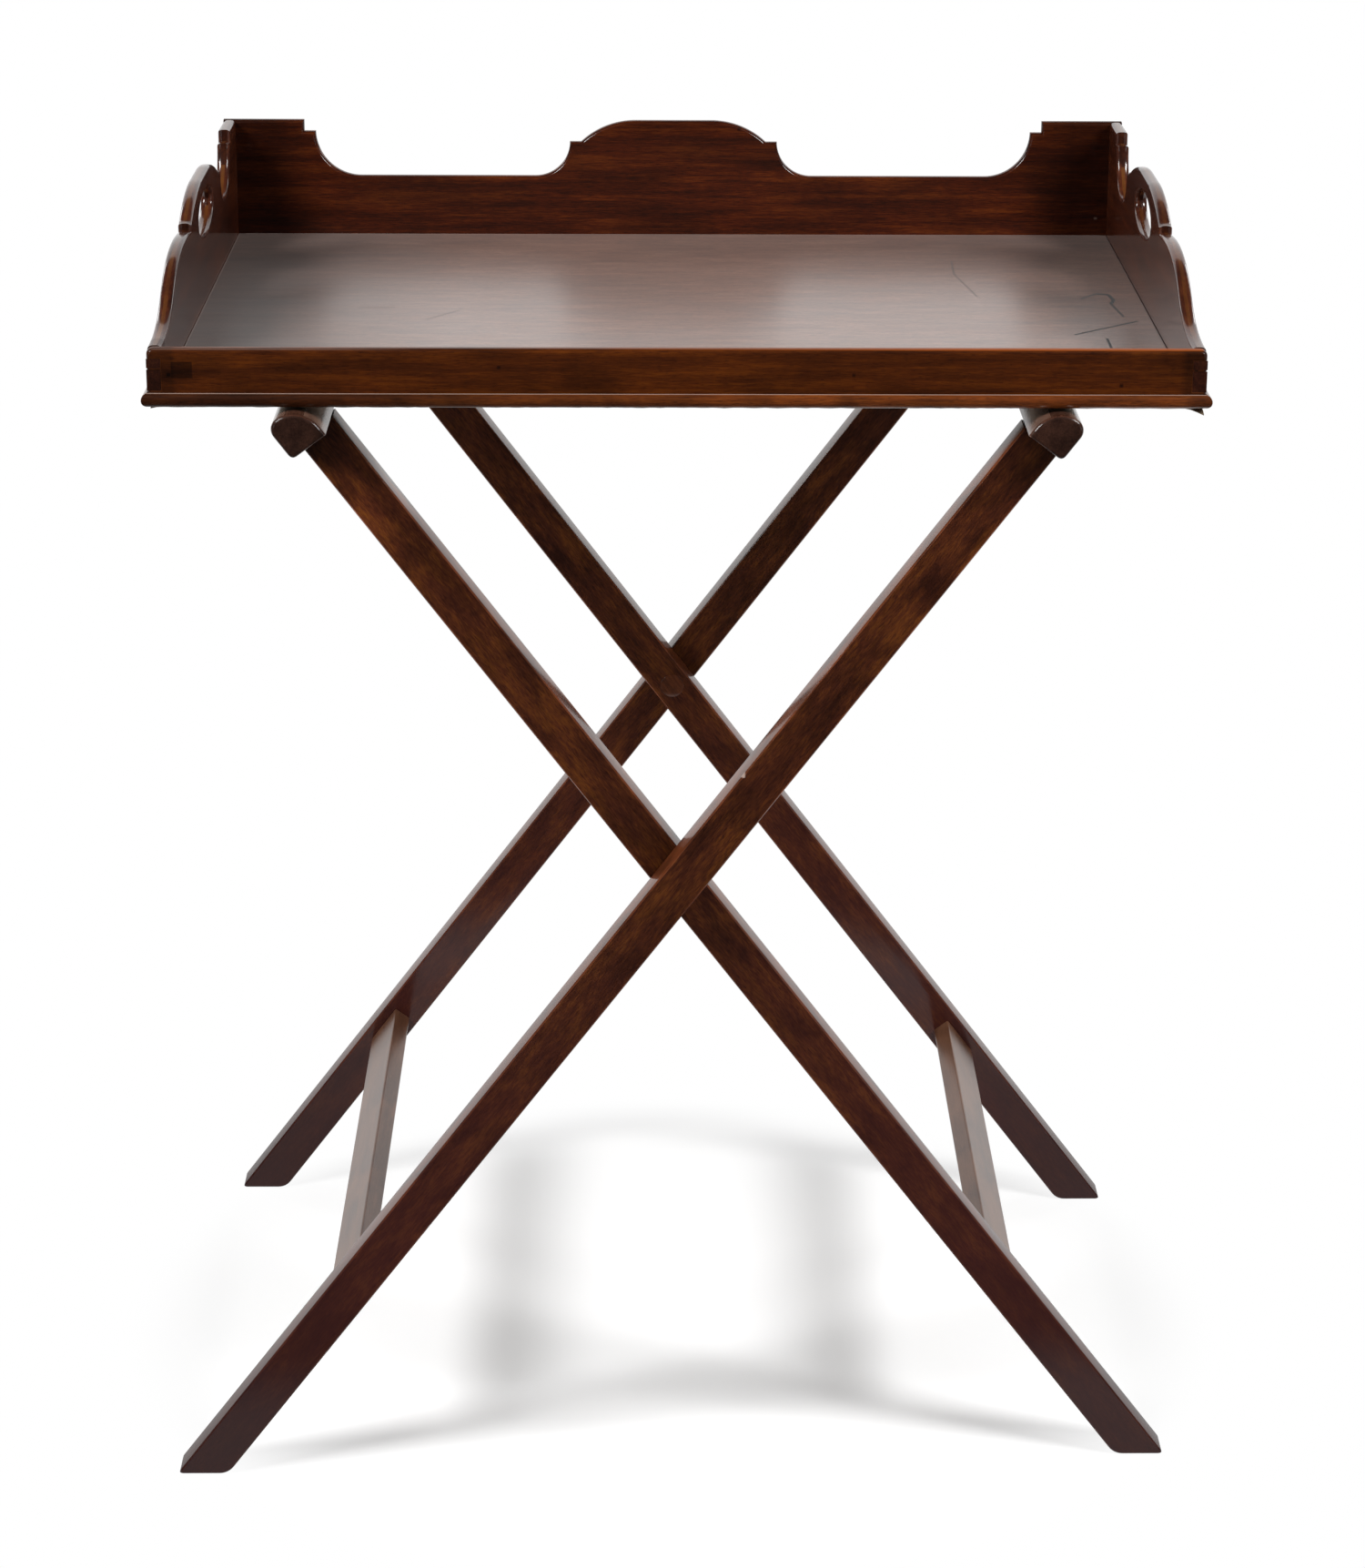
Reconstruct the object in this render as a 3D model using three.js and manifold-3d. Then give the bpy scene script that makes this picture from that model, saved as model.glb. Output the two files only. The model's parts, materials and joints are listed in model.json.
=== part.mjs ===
// Butler's tray with a shaped, dovetailed gallery, on a folding X stand.
// Millimetres, +Z up, +X to the right and +Y to the back of the tray.
// The origin lies on the floor, under the middle of the stand.

import * as THREE from 'three';
import { mergeVertices } from 'three/addons/utils/BufferGeometryUtils.js';
import Module from 'manifold-3d';

const wasm = await Module();
wasm.setup();

// Clearances and cutting
const jointClearance = 0.3; // between pieces that are let into one another on the stand
const boardClearance = 0.1; // between the boards of the tray
const mitreClearance = 0.1; // between two mouldings at a corner
const cutOverrun = 20; // how far a cutting solid runs past the piece it cuts
const weldTolerance = 0.0001;

// Tray
const trayWidth = 711;
const trayDepth = 510;
const baseUndersideHeight = 817.5; // above the floor
const baseThickness = 9.5; // of the board let in between the gallery's boards
const boardThickness = 9.5; // of the gallery
const liningThickness = 0.6;
const liningInset = 2.5;
const mouldingProjection = 4;
const mouldingSteps = 10;

// Gallery outline, heights above the tray's floor
const galleryHeight = 91;
const frontRailHeight = 30.5;
const lowHeight = 46.5; // lowest stretch between a corner block and a hump
const cornerLedgeHeight = 82;
const earHeight = 74; // ledge at the foot of a hump
const cornerLedgeLength = 9;
const earLedgeLength = 9;
const backBlockLength = 63.5; // from the tray's outer side
const backHumpHalfLength = 73;
const backHumpHalfFlat = 30;
const sideBlockLength = 50; // from the tray's back
const sideHumpCentre = 222; // from the tray's back
const sideHumpHalfLength = 90;
const sideHumpHalfFlat = 21;
const frontEarLength = 5; // ledge at the front foot of the handle's hump
const filletDrop = 5; // small upright face in front of that ledge
const filletStep = 3; // ledge under the upright face
const frontFlatLength = 12; // level end of the side board at the front rail
const cornerRounding = 5; // upper corners of the front rail

// Control points of the ogee between the handle and the front rail: share of its run, share of its fall
const ogeeShares = [
  [0.18, 1.09], [0.4, 1.08], [0.573, 0.545],
  [0.674, 0.226], [0.775, 0], [1, 0],
];

// Hand hole
const holeLength = 92;
const holeHeight = 31;
const holeCentreHeight = 63;

// Rounded upper edges of the gallery
const edgeRoundDepth = 3.4; // into the board's thickness
const edgeRoundDrop = 2.6; // down from the crest
const edgeRoundSteps = 3;
const curveSteps = 10;

// Dovetails
const tailFlare = 1.6; // growth of each side of a tail through the board

// Lower and upper end of each tail on the outer face, as shares of the corner's height above the floor
const frontTailShares = [[0.05, 0.525], [0.56, 0.77]];
const backTailShares = [[0.03, 0.23], [0.25, 0.46], [0.48, 0.69], [0.71, 0.92]];

// Stand
const pivotHeight = 463;
const legAngle = THREE.MathUtils.degToRad(36.9); // of each leg from the vertical
const standDepth = 487; // over the outer legs
const legWidth = 30;
const legThickness = 23;
const legArris = 1.2;
const pivotGap = 1.6; // between two crossing legs
const toeRounding = 5;
const heelRounding = 7;

// Top rails, section seen along the rail with the leg upright
const railLength = 536;
const railWidth = 29;
const railHeight = 28.6;
const railInnerFlank = 6; // height of the flat inner side
const railOuterFlank = 20; // height of the flat outer side
const railCrestSetback = 8.6; // crest from the outer side
const railHeelRounding = 4.5;
const railEndRounding = 2.5;
const railEndSteps = 2;
const railCurveSteps = 10;

// Leg tenon in the top rail
const tenonWidth = 17;
const tenonThickness = 11;
const tenonLength = 14;

// Stretchers
const stretcherDistance = 394; // from the pivot down the leg to the middle of the stretcher
const stretcherHeight = 35; // along the leg
const stretcherThickness = 14.5;
const stretcherRounding = 1.5;
const stretcherTenonHeight = 25;
const stretcherTenonThickness = 8.5;
const stretcherTenonLength = 14;

// Pivots
const pinRadius = 4;
const pinCover = 6; // wood left over the pin's blind end in the outer leg
const washerRadius = 12;
const washerThickness = 1;
const roundSides = 24;

// Straps
const strapWidth = 50;
const strapThickness = 1;
const strapSpacing = 160;
const strapWrapStart = 7; // strap's end above the rail's underside
const strapNames = ['front', 'middle', 'back'];

const mahogany = { color: 0x5a2a17, roughness: 0.38, metalness: 0 };
const darkMahogany = { color: 0x3f1c12, roughness: 0.42, metalness: 0 };
const steel = { color: 0x6f6d6a, roughness: 0.5, metalness: 1 };
const brass = { color: 0xa9853f, roughness: 0.45, metalness: 1 };
const webbing = { color: 0x8a7350, roughness: 0.95, metalness: 0 };
const baize = { color: 0x4a443a, roughness: 1, metalness: 0 };

const floorLevel = baseUndersideHeight + baseThickness;
const halfWidth = trayWidth / 2;
const halfDepth = trayDepth / 2;
const outerLegFace = standDepth / 2;
const innerLegFace = outerLegFace - legThickness - pivotGap;

// The strap's top surface lies just under the lining, and the rail just under the strap.
const railTopHeight =
  baseUndersideHeight - liningThickness - jointClearance - strapThickness - jointClearance;
const crest = {
  x: -railWidth / 2 + railCrestSetback,
  innerRun: railWidth - railCrestSetback,
  innerFall: railHeight - railInnerFlank,
  outerRun: railCrestSetback,
  outerFall: railHeight - railOuterFlank,
};
const crestRise =
  crest.x * Math.sin(legAngle) +
  railInnerFlank * Math.cos(legAngle) +
  Math.hypot(crest.innerRun * Math.sin(legAngle), crest.innerFall * Math.cos(legAngle));
const railDistance = (railTopHeight - pivotHeight - crestRise) / Math.cos(legAngle);

/** Turns a closed geometry into a solid that can be joined and cut. */
function toSolid(geometry) {
  const plain = geometry.clone();
  plain.deleteAttribute('normal');
  plain.deleteAttribute('uv');
  const merged = mergeVertices(plain, weldTolerance);
  return new wasm.Manifold(
    new wasm.Mesh({
      numProp: 3,
      vertProperties: new Float32Array(merged.attributes.position.array),
      triVerts: new Uint32Array(merged.index.array),
    }),
  );
}

/** Turns a solid back into a geometry. */
function toGeometry(solid) {
  const mesh = solid.getMesh();
  const geometry = new THREE.BufferGeometry();
  geometry.setAttribute('position', new THREE.BufferAttribute(mesh.vertProperties, 3));
  geometry.setIndex(new THREE.BufferAttribute(mesh.triVerts, 1));
  geometry.computeVertexNormals();
  return geometry;
}

/** A block between two corners, each given as [x, y, z]. */
function block(low, high) {
  const size = high.map((value, axis) => value - low[axis]);
  const middle = high.map((value, axis) => (value + low[axis]) / 2);
  return new THREE.BoxGeometry(...size).translate(...middle);
}

/** A round rod along Y between two places on the axis. */
function rodAlongY(radius, from, to) {
  return new THREE.CylinderGeometry(radius, radius, to - from, roundSides).translate(0, (from + to) / 2, 0);
}

/** Extrudes a shape drawn in X and Z, centred on the plane y = 0. */
function extrudeAcross(shape, thickness, round = {}) {
  const { depth = 0, drop = 0, steps = 0 } = round;
  const geometry = new THREE.ExtrudeGeometry(shape, {
    depth: thickness - depth - depth,
    curveSegments: curveSteps,
    bevelEnabled: steps > 0,
    bevelThickness: depth,
    bevelSize: drop,
    bevelOffset: -drop,
    bevelSegments: steps,
  });
  return geometry.translate(0, 0, -(thickness - depth - depth) / 2).rotateX(Math.PI / 2);
}

/** A closed outline whose corners are [x, y, cut]: the cut is how far from the corner the curve starts. */
function roundedOutline(corners) {
  const shape = new THREE.Shape();
  corners.forEach(([x, y, cut], index) => {
    const corner = new THREE.Vector2(x, y);
    const before = new THREE.Vector2(...corners.at(index - 1)).sub(corner).setLength(cut).add(corner);
    const after = new THREE.Vector2(...corners[(index + 1) % corners.length])
      .sub(corner).setLength(cut).add(corner);
    if (index === 0) shape.moveTo(before.x, before.y);
    else shape.lineTo(before.x, before.y);
    if (cut > 0) shape.quadraticCurveTo(x, y, after.x, after.y);
  });
  shape.closePath();
  return shape;
}

/** Adds the arc of a hump's shoulder, from the end of its level crest down to the ear, or back up. */
function addShoulder(shape, crestEnd, footEnd, upwards) {
  const run = Math.abs(footEnd - crestEnd);
  const fall = galleryHeight - earHeight;
  const radius = (run * run + fall * fall) / (fall + fall);
  const sweep = Math.asin(run / radius) * Math.sign(footEnd - crestEnd);
  const top = Math.PI / 2;
  const foot = top - sweep;
  const start = upwards ? foot : top;
  const end = upwards ? top : foot;
  shape.absarc(crestEnd, galleryHeight - radius, radius, start, end, end < start);
}

/** Outline of the back board between its corner blocks and over its hump, drawn from left to right. */
function backOutline() {
  const bottom = -cutOverrun;
  const end = halfWidth + cutOverrun;
  const blockEnd = halfWidth - backBlockLength;
  const ledgeEnd = blockEnd - cornerLedgeLength;
  const blockSweep = cornerLedgeHeight - lowHeight;
  const humpSweep = earHeight - lowHeight;
  const earEnd = backHumpHalfLength + earLedgeLength;
  const shape = new THREE.Shape();
  shape.moveTo(-end, bottom);
  shape.lineTo(-end, galleryHeight);
  shape.lineTo(-blockEnd, galleryHeight);
  shape.lineTo(-blockEnd, cornerLedgeHeight);
  shape.lineTo(-ledgeEnd, cornerLedgeHeight);
  shape.absarc(blockSweep - ledgeEnd, cornerLedgeHeight, blockSweep, Math.PI, 1.5 * Math.PI, false);
  shape.absarc(-earEnd - humpSweep, earHeight, humpSweep, 1.5 * Math.PI, 2 * Math.PI, false);
  shape.lineTo(-backHumpHalfLength, earHeight);
  addShoulder(shape, -backHumpHalfFlat, -backHumpHalfLength, true);
  addShoulder(shape, backHumpHalfFlat, backHumpHalfLength, false);
  shape.lineTo(earEnd, earHeight);
  shape.absarc(earEnd + humpSweep, earHeight, humpSweep, Math.PI, 1.5 * Math.PI, false);
  shape.absarc(ledgeEnd - blockSweep, cornerLedgeHeight, blockSweep, 1.5 * Math.PI, 2 * Math.PI, false);
  shape.lineTo(blockEnd, cornerLedgeHeight);
  shape.lineTo(blockEnd, galleryHeight);
  shape.lineTo(end, galleryHeight);
  shape.lineTo(end, bottom);
  shape.closePath();
  return shape;
}

/** Outline of a side board with its hand hole. The first axis runs from the back to the front. */
function sideOutline() {
  const bottom = -cutOverrun;
  const frontEnd = trayDepth + cutOverrun;
  const ledgeEnd = sideBlockLength + cornerLedgeLength;
  const blockSweep = cornerLedgeHeight - lowHeight;
  const humpSweep = earHeight - lowHeight;
  const humpBack = sideHumpCentre - sideHumpHalfLength;
  const humpFront = sideHumpCentre + sideHumpHalfLength;
  const sweepCentre = humpBack - earLedgeLength - humpSweep;
  const fillet = humpFront + frontEarLength;
  const filletFoot = earHeight - filletDrop;
  const ogeeStart = fillet + filletStep;
  const ogeeRun = trayDepth - frontFlatLength - ogeeStart;
  const ogeeFall = filletFoot - frontRailHeight;
  const ogee = ogeeShares.flatMap(([run, fall]) => [
    ogeeStart + run * ogeeRun,
    frontRailHeight + fall * ogeeFall,
  ]);
  const shape = new THREE.Shape();
  shape.moveTo(-cutOverrun, bottom);
  shape.lineTo(-cutOverrun, galleryHeight);
  shape.lineTo(sideBlockLength, galleryHeight);
  shape.lineTo(sideBlockLength, cornerLedgeHeight);
  shape.lineTo(ledgeEnd, cornerLedgeHeight);
  shape.absarc(ledgeEnd + blockSweep, cornerLedgeHeight, blockSweep, Math.PI, 1.5 * Math.PI, false);
  shape.absarc(sweepCentre, earHeight, humpSweep, 1.5 * Math.PI, 2 * Math.PI, false);
  shape.lineTo(humpBack, earHeight);
  addShoulder(shape, sideHumpCentre - sideHumpHalfFlat, humpBack, true);
  addShoulder(shape, sideHumpCentre + sideHumpHalfFlat, humpFront, false);
  shape.lineTo(fillet, earHeight);
  shape.lineTo(fillet, filletFoot);
  shape.lineTo(ogeeStart, filletFoot);
  shape.bezierCurveTo(...ogee.slice(0, 6));
  shape.bezierCurveTo(...ogee.slice(6));
  shape.lineTo(frontEnd, frontRailHeight);
  shape.lineTo(frontEnd, bottom);
  shape.closePath();

  const hole = new THREE.Path();
  hole.absellipse(sideHumpCentre, holeCentreHeight, holeLength / 2, holeHeight / 2, 0, 2 * Math.PI, false);
  shape.holes.push(hole);
  return shape;
}

/** Outline of the front rail, with its upper corners rounded. */
function frontOutline() {
  return roundedOutline([
    [-halfWidth, -cutOverrun, 0],
    [-halfWidth, frontRailHeight, cornerRounding],
    [halfWidth, frontRailHeight, cornerRounding],
    [halfWidth, -cutOverrun, 0],
  ]);
}

/**
 * The tails of one corner, as prisms through the side board's thickness.
 * They are widest at the outer face of the front or back board and grow by `play` all round.
 */
function cornerTails({ side, end, height, shares }, play) {
  const outer = halfDepth + cutOverrun;
  const shoulder = halfDepth - boardThickness;
  const root = play > 0 ? shoulder - play : shoulder - cutOverrun;
  const spread = (tailFlare * (outer - shoulder)) / boardThickness;
  const inner = side * (halfWidth - boardThickness - play);
  const outside = side * (halfWidth + cutOverrun);
  const facingX = new THREE.Matrix4().makeBasis(
    new THREE.Vector3(0, 1, 0),
    new THREE.Vector3(0, 0, 1),
    new THREE.Vector3(1, 0, 0),
  );
  const tails = shares.map(([lowShare, highShare]) => {
    const low = lowShare * height + tailFlare - play;
    const high = highShare * height - tailFlare + play;
    const outline = new THREE.Shape();
    outline.moveTo(end * root, low);
    outline.lineTo(end * shoulder, low);
    outline.lineTo(end * outer, low - spread);
    outline.lineTo(end * outer, high + spread);
    outline.lineTo(end * shoulder, high);
    outline.lineTo(end * root, high);
    outline.closePath();
    const depth = Math.abs(outside - inner);
    const prism = new THREE.ExtrudeGeometry(outline, { depth, bevelEnabled: false });
    return toSolid(prism.applyMatrix4(facingX).translate(Math.min(inner, outside), 0, 0));
  });
  return tails.reduce((all, tail) => all.add(tail));
}

/** The four corners of the gallery: side, end, height of the corner and its tails. */
const corners = [
  { side: -1, end: -1, height: frontRailHeight, shares: frontTailShares },
  { side: 1, end: -1, height: frontRailHeight, shares: frontTailShares },
  { side: -1, end: 1, height: galleryHeight, shares: backTailShares },
  { side: 1, end: 1, height: galleryHeight, shares: backTailShares },
];

/** A front or back board: its outline cut square at the ends, with sockets for the tails. */
function endBoard(outline, end) {
  const round = { depth: edgeRoundDepth, drop: edgeRoundDrop, steps: edgeRoundSteps };
  const board = extrudeAcross(outline, boardThickness, round);
  board.translate(0, end * (halfDepth - boardThickness / 2), 0);
  const envelope = block(
    [-halfWidth, -halfDepth, -baseThickness],
    [halfWidth, halfDepth, galleryHeight + cutOverrun],
  );
  return corners
    .filter((corner) => corner.end === end)
    .reduce(
      (solid, corner) => solid.subtract(cornerTails(corner, boardClearance)),
      toSolid(board).intersect(toSolid(envelope)),
    );
}

/** A side board: its outline, cut back to the shoulders except where its tails run through. */
function sideBoard(side) {
  const round = { depth: edgeRoundDepth, drop: edgeRoundDrop, steps: edgeRoundSteps };
  const board = extrudeAcross(sideOutline(), boardThickness, round);
  const facingSide = new THREE.Matrix4().makeBasis(
    new THREE.Vector3(0, -1, 0),
    new THREE.Vector3(1, 0, 0),
    new THREE.Vector3(0, 0, 1),
  );
  board.applyMatrix4(facingSide).translate(side * (halfWidth - boardThickness / 2), halfDepth, 0);
  const top = galleryHeight + cutOverrun;
  const bottom = -baseThickness;
  const envelope = toSolid(block([-halfWidth, -halfDepth, bottom], [halfWidth, halfDepth, top]));
  const shoulder = halfDepth - boardThickness - boardClearance;
  const betweenShoulders = toSolid(block([-halfWidth, -shoulder, bottom], [halfWidth, shoulder, top]));
  const blank = toSolid(board).intersect(envelope);
  return corners
    .filter((corner) => corner.side === side)
    .reduce(
      (solid, corner) => solid.add(blank.intersect(cornerTails(corner, 0))),
      blank.intersect(betweenShoulders),
    );
}

/** A half-round moulding of the given length, projecting towards -Y, mitred at both ends. */
function mouldingGeometry(length) {
  const section = new THREE.Shape();
  section.absellipse(
    0, -baseThickness / 2, mouldingProjection, baseThickness / 2, -Math.PI / 2, Math.PI / 2, false,
  );
  section.closePath();
  const strip = new THREE.ExtrudeGeometry(section, {
    depth: length,
    curveSegments: mouldingSteps,
    bevelEnabled: false,
  });
  const alongX = new THREE.Matrix4().makeBasis(
    new THREE.Vector3(0, -1, 0),
    new THREE.Vector3(0, 0, 1),
    new THREE.Vector3(-1, 0, 0),
  );
  strip.applyMatrix4(alongX).translate(length / 2, 0, 0);
  const places = strip.attributes.position;
  for (let index = 0; index < places.count; index += 1) {
    const x = places.getX(index);
    places.setX(index, x + Math.sign(x) * (-places.getY(index) - mitreClearance));
  }
  return strip;
}

/** Makes a named mesh with a material of its own. */
function piece(name, geometry, finish) {
  const mesh = new THREE.Mesh(geometry, new THREE.MeshStandardMaterial(finish));
  mesh.name = name;
  return mesh;
}

/** The four mouldings round the base. */
function mouldings() {
  const runs = [
    { name: 'front', length: trayWidth, offset: halfDepth, turn: 0 },
    { name: 'right', length: trayDepth, offset: halfWidth, turn: Math.PI / 2 },
    { name: 'back', length: trayWidth, offset: halfDepth, turn: Math.PI },
    { name: 'left', length: trayDepth, offset: halfWidth, turn: -Math.PI / 2 },
  ];
  return runs.map(({ name, length, offset, turn }) => {
    const strip = piece(`moulding_${name}`, mouldingGeometry(length), mahogany);
    strip.position.set(offset * Math.sin(turn), -offset * Math.cos(turn), 0);
    strip.rotation.z = turn;
    return strip;
  });
}

/** The tray, with z = 0 at its floor. */
function tray() {
  const group = new THREE.Group();
  const baseHalfWidth = halfWidth - boardThickness - boardClearance;
  const baseHalfDepth = halfDepth - boardThickness - boardClearance;
  const base = block([-baseHalfWidth, -baseHalfDepth, -baseThickness], [baseHalfWidth, baseHalfDepth, 0]);
  const liningHalfWidth = halfWidth - liningInset;
  const liningHalfDepth = halfDepth - liningInset;
  const lining = block(
    [-liningHalfWidth, -liningHalfDepth, -baseThickness - liningThickness],
    [liningHalfWidth, liningHalfDepth, -baseThickness],
  );
  group.add(
    piece('base_board', base, mahogany),
    piece('base_lining', lining, baize),
    piece('gallery_front', toGeometry(endBoard(frontOutline(), -1)), mahogany),
    piece('gallery_back', toGeometry(endBoard(backOutline(), 1)), mahogany),
    piece('gallery_left', toGeometry(sideBoard(-1)), mahogany),
    piece('gallery_right', toGeometry(sideBoard(1)), mahogany),
    ...mouldings(),
  );
  group.position.z = floorLevel;
  return group;
}

/** A leg upright on its own axis, pivot at the origin, foot cut so that it lies flat when leaning. */
function legBlank() {
  const half = legWidth / 2;
  const top = railDistance - jointClearance;
  const footAt = (x) => -(pivotHeight + x * Math.sin(legAngle)) / Math.cos(legAngle);
  const outline = roundedOutline([
    [-half, top, 0],
    [half, top, 0],
    [half, footAt(half), toeRounding],
    [-half, footAt(-half), heelRounding],
  ]);
  const arris = { depth: legArris, drop: legArris, steps: 1 };
  const tenon = block(
    [-tenonWidth / 2, -tenonThickness / 2, top - tenonLength],
    [tenonWidth / 2, tenonThickness / 2, top + tenonLength],
  );
  return toSolid(extrudeAcross(outline, legThickness, arris)).add(toSolid(tenon));
}

/**
 * A leg at its place across the stand, with its pivot hole and stretcher mortise.
 * `outerFace` is the distance of its outer face from the middle, `end` is -1 in front and 1 behind.
 */
function leg(end, outerFace, holeCover) {
  const innerFace = outerFace - legThickness;
  const holeRadius = pinRadius + jointClearance;
  const holeEnd = holeCover > 0 ? outerFace - holeCover : outerFace + cutOverrun;
  const hole = rodAlongY(
    holeRadius,
    Math.min(end * (innerFace - cutOverrun), end * holeEnd),
    Math.max(end * (innerFace - cutOverrun), end * holeEnd),
  );
  const mortiseHalfThickness = stretcherTenonThickness / 2 + jointClearance;
  const mortiseHalfHeight = stretcherTenonHeight / 2 + jointClearance;
  const mortiseEnds = [
    end * (innerFace - cutOverrun),
    end * (innerFace + stretcherTenonLength + jointClearance),
  ].sort((first, second) => first - second);
  const mortise = block(
    [-mortiseHalfThickness, mortiseEnds[0], -stretcherDistance - mortiseHalfHeight],
    [mortiseHalfThickness, mortiseEnds[1], -stretcherDistance + mortiseHalfHeight],
  );
  return legBlank()
    .translate([0, end * (outerFace - legThickness / 2), 0])
    .subtract(toSolid(hole))
    .subtract(toSolid(mortise));
}

/** Point of the rail's crest curve: angle 0 is the crest itself, moved outwards by `offset`. */
function crestPoint(angle, offset) {
  const run = angle < 0 ? crest.outerRun : crest.innerRun;
  const fall = angle < 0 ? crest.outerFall : crest.innerFall;
  const normal = new THREE.Vector2(Math.sin(angle) / run, Math.cos(angle) / fall).setLength(offset);
  return new THREE.Vector2(
    crest.x + run * Math.sin(angle) + normal.x,
    railHeight - fall + fall * Math.cos(angle) + normal.y,
  );
}

/** Points over the crest from one angle to another. */
function crestPoints(from, to, steps, offset) {
  return Array.from({ length: steps + 1 }, (_, index) =>
    crestPoint(from + ((to - from) * index) / steps, offset));
}

/** A top rail: flat where the legs enter, flat outside, rounded over the top. */
function topRail(outerFace) {
  const half = railWidth / 2;
  const quarter = Math.PI / 2;
  const section = new THREE.Shape();
  section.moveTo(half, 0);
  crestPoints(quarter, 0, railCurveSteps, 0).forEach(({ x, y }) => section.lineTo(x, y));
  crestPoints(-quarter / railCurveSteps, -quarter, railCurveSteps - 1, 0)
    .forEach(({ x, y }) => section.lineTo(x, y));
  section.lineTo(-half, railHeelRounding);
  section.quadraticCurveTo(-half, 0, railHeelRounding - half, 0);
  section.closePath();
  const round = { depth: railEndRounding, drop: railEndRounding, steps: railEndSteps };
  const body = extrudeAcross(section, railLength, round).translate(0, 0, railDistance);
  const mortiseHalfWidth = tenonWidth / 2 + jointClearance;
  const mortiseHalfThickness = tenonThickness / 2 + jointClearance;
  const legMiddle = outerFace - legThickness / 2;
  return [-legMiddle, legMiddle].reduce(
    (solid, y) =>
      solid.subtract(toSolid(block(
        [-mortiseHalfWidth, y - mortiseHalfThickness, railDistance - cutOverrun],
        [mortiseHalfWidth, y + mortiseHalfThickness, railDistance + tenonLength + jointClearance],
      ))),
    toSolid(body),
  );
}

/** A stretcher between two legs, with a tenon at each end. */
function stretcher(outerFace) {
  const halfThickness = stretcherThickness / 2;
  const halfHeight = stretcherHeight / 2;
  const outline = roundedOutline([
    [-halfThickness, -halfHeight, stretcherRounding],
    [halfThickness, -halfHeight, stretcherRounding],
    [halfThickness, halfHeight, stretcherRounding],
    [-halfThickness, halfHeight, stretcherRounding],
  ]);
  const innerFace = outerFace - legThickness;
  const length = 2 * (innerFace - jointClearance);
  const tenonReach = innerFace + stretcherTenonLength;
  const tenon = block(
    [-stretcherTenonThickness / 2, -tenonReach, -stretcherTenonHeight / 2],
    [stretcherTenonThickness / 2, tenonReach, stretcherTenonHeight / 2],
  );
  return toSolid(extrudeAcross(outline, length))
    .add(toSolid(tenon))
    .translate([0, 0, -stretcherDistance]);
}

/** Places of the straps along the rails. */
function strapPlaces() {
  return strapNames.map((_, index) => (index - (strapNames.length - 1) / 2) * strapSpacing);
}

/** Half of a strap's run, over the inner frame's rail, in the stand's own X and Z. */
function strapRun(offset) {
  const touching = Math.atan2(
    crest.innerRun * Math.sin(legAngle),
    crest.innerFall * Math.cos(legAngle),
  );
  const flank = new THREE.Vector2(-railWidth / 2 - offset, strapWrapStart);
  const overRail = [
    flank,
    ...crestPoints(-Math.PI / 2, -Math.PI / 2 / railCurveSteps, railCurveSteps - 1, offset),
    ...crestPoints(0, touching, railCurveSteps / 2, offset),
  ];
  return overRail.map(({ x, y }) => {
    const along = railDistance + y;
    return new THREE.Vector2(
      x * Math.cos(legAngle) - along * Math.sin(legAngle),
      pivotHeight + x * Math.sin(legAngle) + along * Math.cos(legAngle),
    );
  });
}

/** A webbing strap, drawn tight between the two rails and round the outside of each. */
function strap() {
  const inside = strapRun(jointClearance);
  const outside = strapRun(jointClearance + strapThickness);
  const mirrored = (run) => run.map(({ x, y }) => new THREE.Vector2(-x, y)).reverse();
  const outline = new THREE.Shape([
    ...inside,
    ...mirrored(inside),
    ...mirrored(outside).reverse(),
    ...outside.slice().reverse(),
  ]);
  return extrudeAcross(outline, strapWidth);
}

/**
 * A frame of the stand: two legs, a top rail and a stretcher.
 * `front` is the side of the frame's own Y that faces the front once the frame is turned.
 */
function frame(name, outerFace, holeCover, front) {
  const group = new THREE.Group();
  group.add(
    piece(`${name}_leg_front`, toGeometry(leg(front, outerFace, holeCover)), darkMahogany),
    piece(`${name}_leg_back`, toGeometry(leg(-front, outerFace, holeCover)), darkMahogany),
    piece(`${name}_top_rail`, toGeometry(topRail(outerFace)), darkMahogany),
    piece(`${name}_stretcher`, toGeometry(stretcher(outerFace)), darkMahogany),
  );
  group.position.z = pivotHeight;
  return group;
}

/** The pivots: a pin through each inner leg into the outer leg, and a washer between the two. */
function pivots(front) {
  return [front, -front].flatMap((end) => {
    const place = end === front ? 'front' : 'back';
    const pinEnds = [
      end * (innerLegFace - legThickness + jointClearance),
      end * (outerLegFace - pinCover - jointClearance),
    ].sort((first, second) => first - second);
    const pin = rodAlongY(pinRadius, ...pinEnds);
    const washerMiddle = end * (innerLegFace + pivotGap / 2);
    const washerEnds = [washerMiddle - washerThickness / 2, washerMiddle + washerThickness / 2];
    const washer = toSolid(rodAlongY(washerRadius, ...washerEnds)).subtract(
      toSolid(rodAlongY(
        pinRadius + jointClearance,
        washerEnds[0] - washerThickness,
        washerEnds[1] + washerThickness,
      )),
    );
    return [
      piece(`pivot_pin_${place}`, pin, steel),
      piece(`pivot_washer_${place}`, toGeometry(washer), brass),
    ];
  });
}

const innerFrame = frame('inner', innerLegFace, 0, -1);
innerFrame.rotation.set(0, -legAngle, 0);

const outerFrame = frame('outer', outerLegFace, pinCover, 1);
outerFrame.rotation.set(0, -legAngle, Math.PI, 'ZYX');
outerFrame.add(...pivots(1));

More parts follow.
